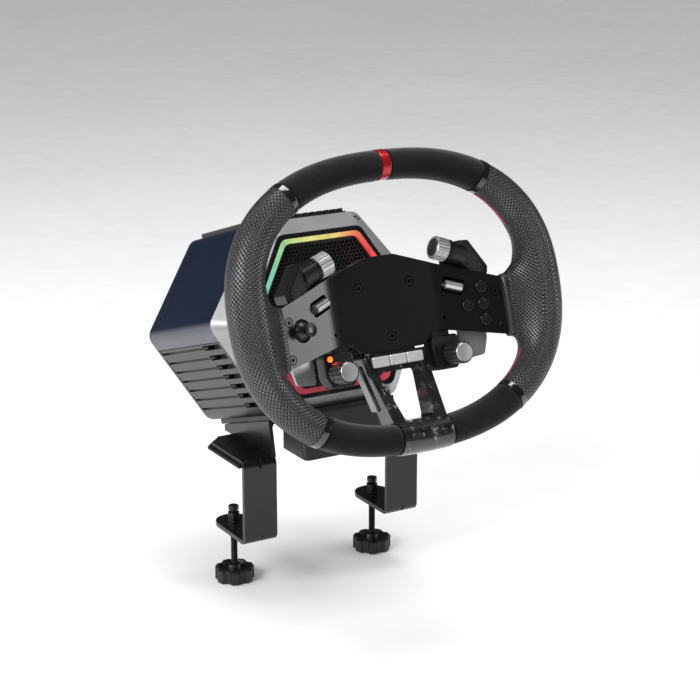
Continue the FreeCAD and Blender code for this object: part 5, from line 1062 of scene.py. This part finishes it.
hem_pairs = []
for side, grip in zip((1, -1), GRIPS):
    tree = BVHTree.FromPolygons([v.co for v in grip.data.vertices],
                                [p.vertices[:] for p in grip.data.polygons])
    for face in (1.0, -1.0):
        for row in HEM_ROWS:
            hem_pairs += hem_stitches(tree, side, face, row)
stitch_line("hem_stitching", DARK_THREAD, hem_pairs, radius=0.00032, arch=0.0003)
suede_pairs = []
for side in (1, -1):
    for start, end in SUEDE_RUNS:
        suede_pairs += inner_seam(start, end, SUEDE_PITCH, SUEDE_WIDTH, SUEDE_PHI, side)
stitch_line("suede_stitching", DARK_THREAD, suede_pairs, radius=0.00030, arch=0.0002)


# ------------------------------------------------------------------ floor, light and camera
FLOOR_HALF = 12.0
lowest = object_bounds()[0].z
floor_mesh = bpy.data.meshes.new("floor")
corners = [(x * FLOOR_HALF, y * FLOOR_HALF, lowest)
           for x, y in ((-1, -1), (1, -1), (1, 1), (-1, 1))]
floor_mesh.from_pydata(corners, [], [(0, 1, 2, 3)])
floor = linked("floor", floor_mesh)
floor_mesh.materials.append(floor_material())

CENTRE = Vector((0.0, -0.05, 0.12))
# name, place in metres, width and height in metres, power in watts
LIGHTS = (("key", (-1.8, -0.5, 1.2), (1.0, 0.8), 38.0), ("fill", (2.15, -1.25, 0.56), (0.8, 0.8), 17.0),
          ("top", (0.2, 0.1, 2.0), (1.4, 0.9), 30.0), ("side", (-1.9, 0.5, 0.3), (0.7, 1.0), 14.0))


def area_light(name, position, size, power):
    """Rectangular light aimed at the middle of the object."""
    data = bpy.data.lights.new(name, "AREA")
    data.shape = "RECTANGLE"
    data.size, data.size_y = size
    data.energy = power
    data.color = (1.0, 1.0, 1.0)
    obj = linked(name, data)
    obj.location = position
    obj.rotation_euler = (CENTRE - Vector(position)).to_track_quat("-Z", "Y").to_euler()


for light in LIGHTS:
    area_light(*light)

BACKDROP = (0.96, 0.97, 0.98, 1.0)
DIFFUSE_STRENGTH, REFLECTED_STRENGTH = 0.62, 0.06
world = bpy.data.worlds.new("studio")
world.use_nodes = True
world_tree = world.node_tree
background = world_tree.nodes["Background"]
background.inputs["Color"].default_value = BACKDROP
# the backdrop is white to the eye, soft for diffuse light and dim in reflections
paths = world_tree.nodes.new("ShaderNodeLightPath")
dim = world_tree.nodes.new("ShaderNodeMapRange")
world_tree.links.new(paths.outputs["Is Glossy Ray"], dim.inputs["Value"])
dim.inputs["To Min"].default_value = DIFFUSE_STRENGTH
dim.inputs["To Max"].default_value = REFLECTED_STRENGTH
seen = world_tree.nodes.new("ShaderNodeMath")
seen.operation = "MAXIMUM"
world_tree.links.new(paths.outputs["Is Camera Ray"], seen.inputs[0])
world_tree.links.new(dim.outputs["Result"], seen.inputs[1])
world_tree.links.new(seen.outputs[0], background.inputs["Strength"])
bpy.context.scene.world = world
bpy.context.scene.view_settings.view_transform = "Standard"

CAMERA_PLACE = (-0.8074, -1.4160, 0.5792)
CAMERA_PITCH, CAMERA_YAW = 0.290, 0.529
CAMERA_LENS, SENSOR_WIDTH = 100.74, 36.0
camera_data = bpy.data.cameras.new("camera")
camera = linked("camera", camera_data)
camera_data.sensor_width = SENSOR_WIDTH
camera_data.lens = CAMERA_LENS
camera.location = CAMERA_PLACE
camera.rotation_euler = (math.pi / 2 - CAMERA_PITCH, 0.0, -CAMERA_YAW)
bpy.context.scene.camera = camera
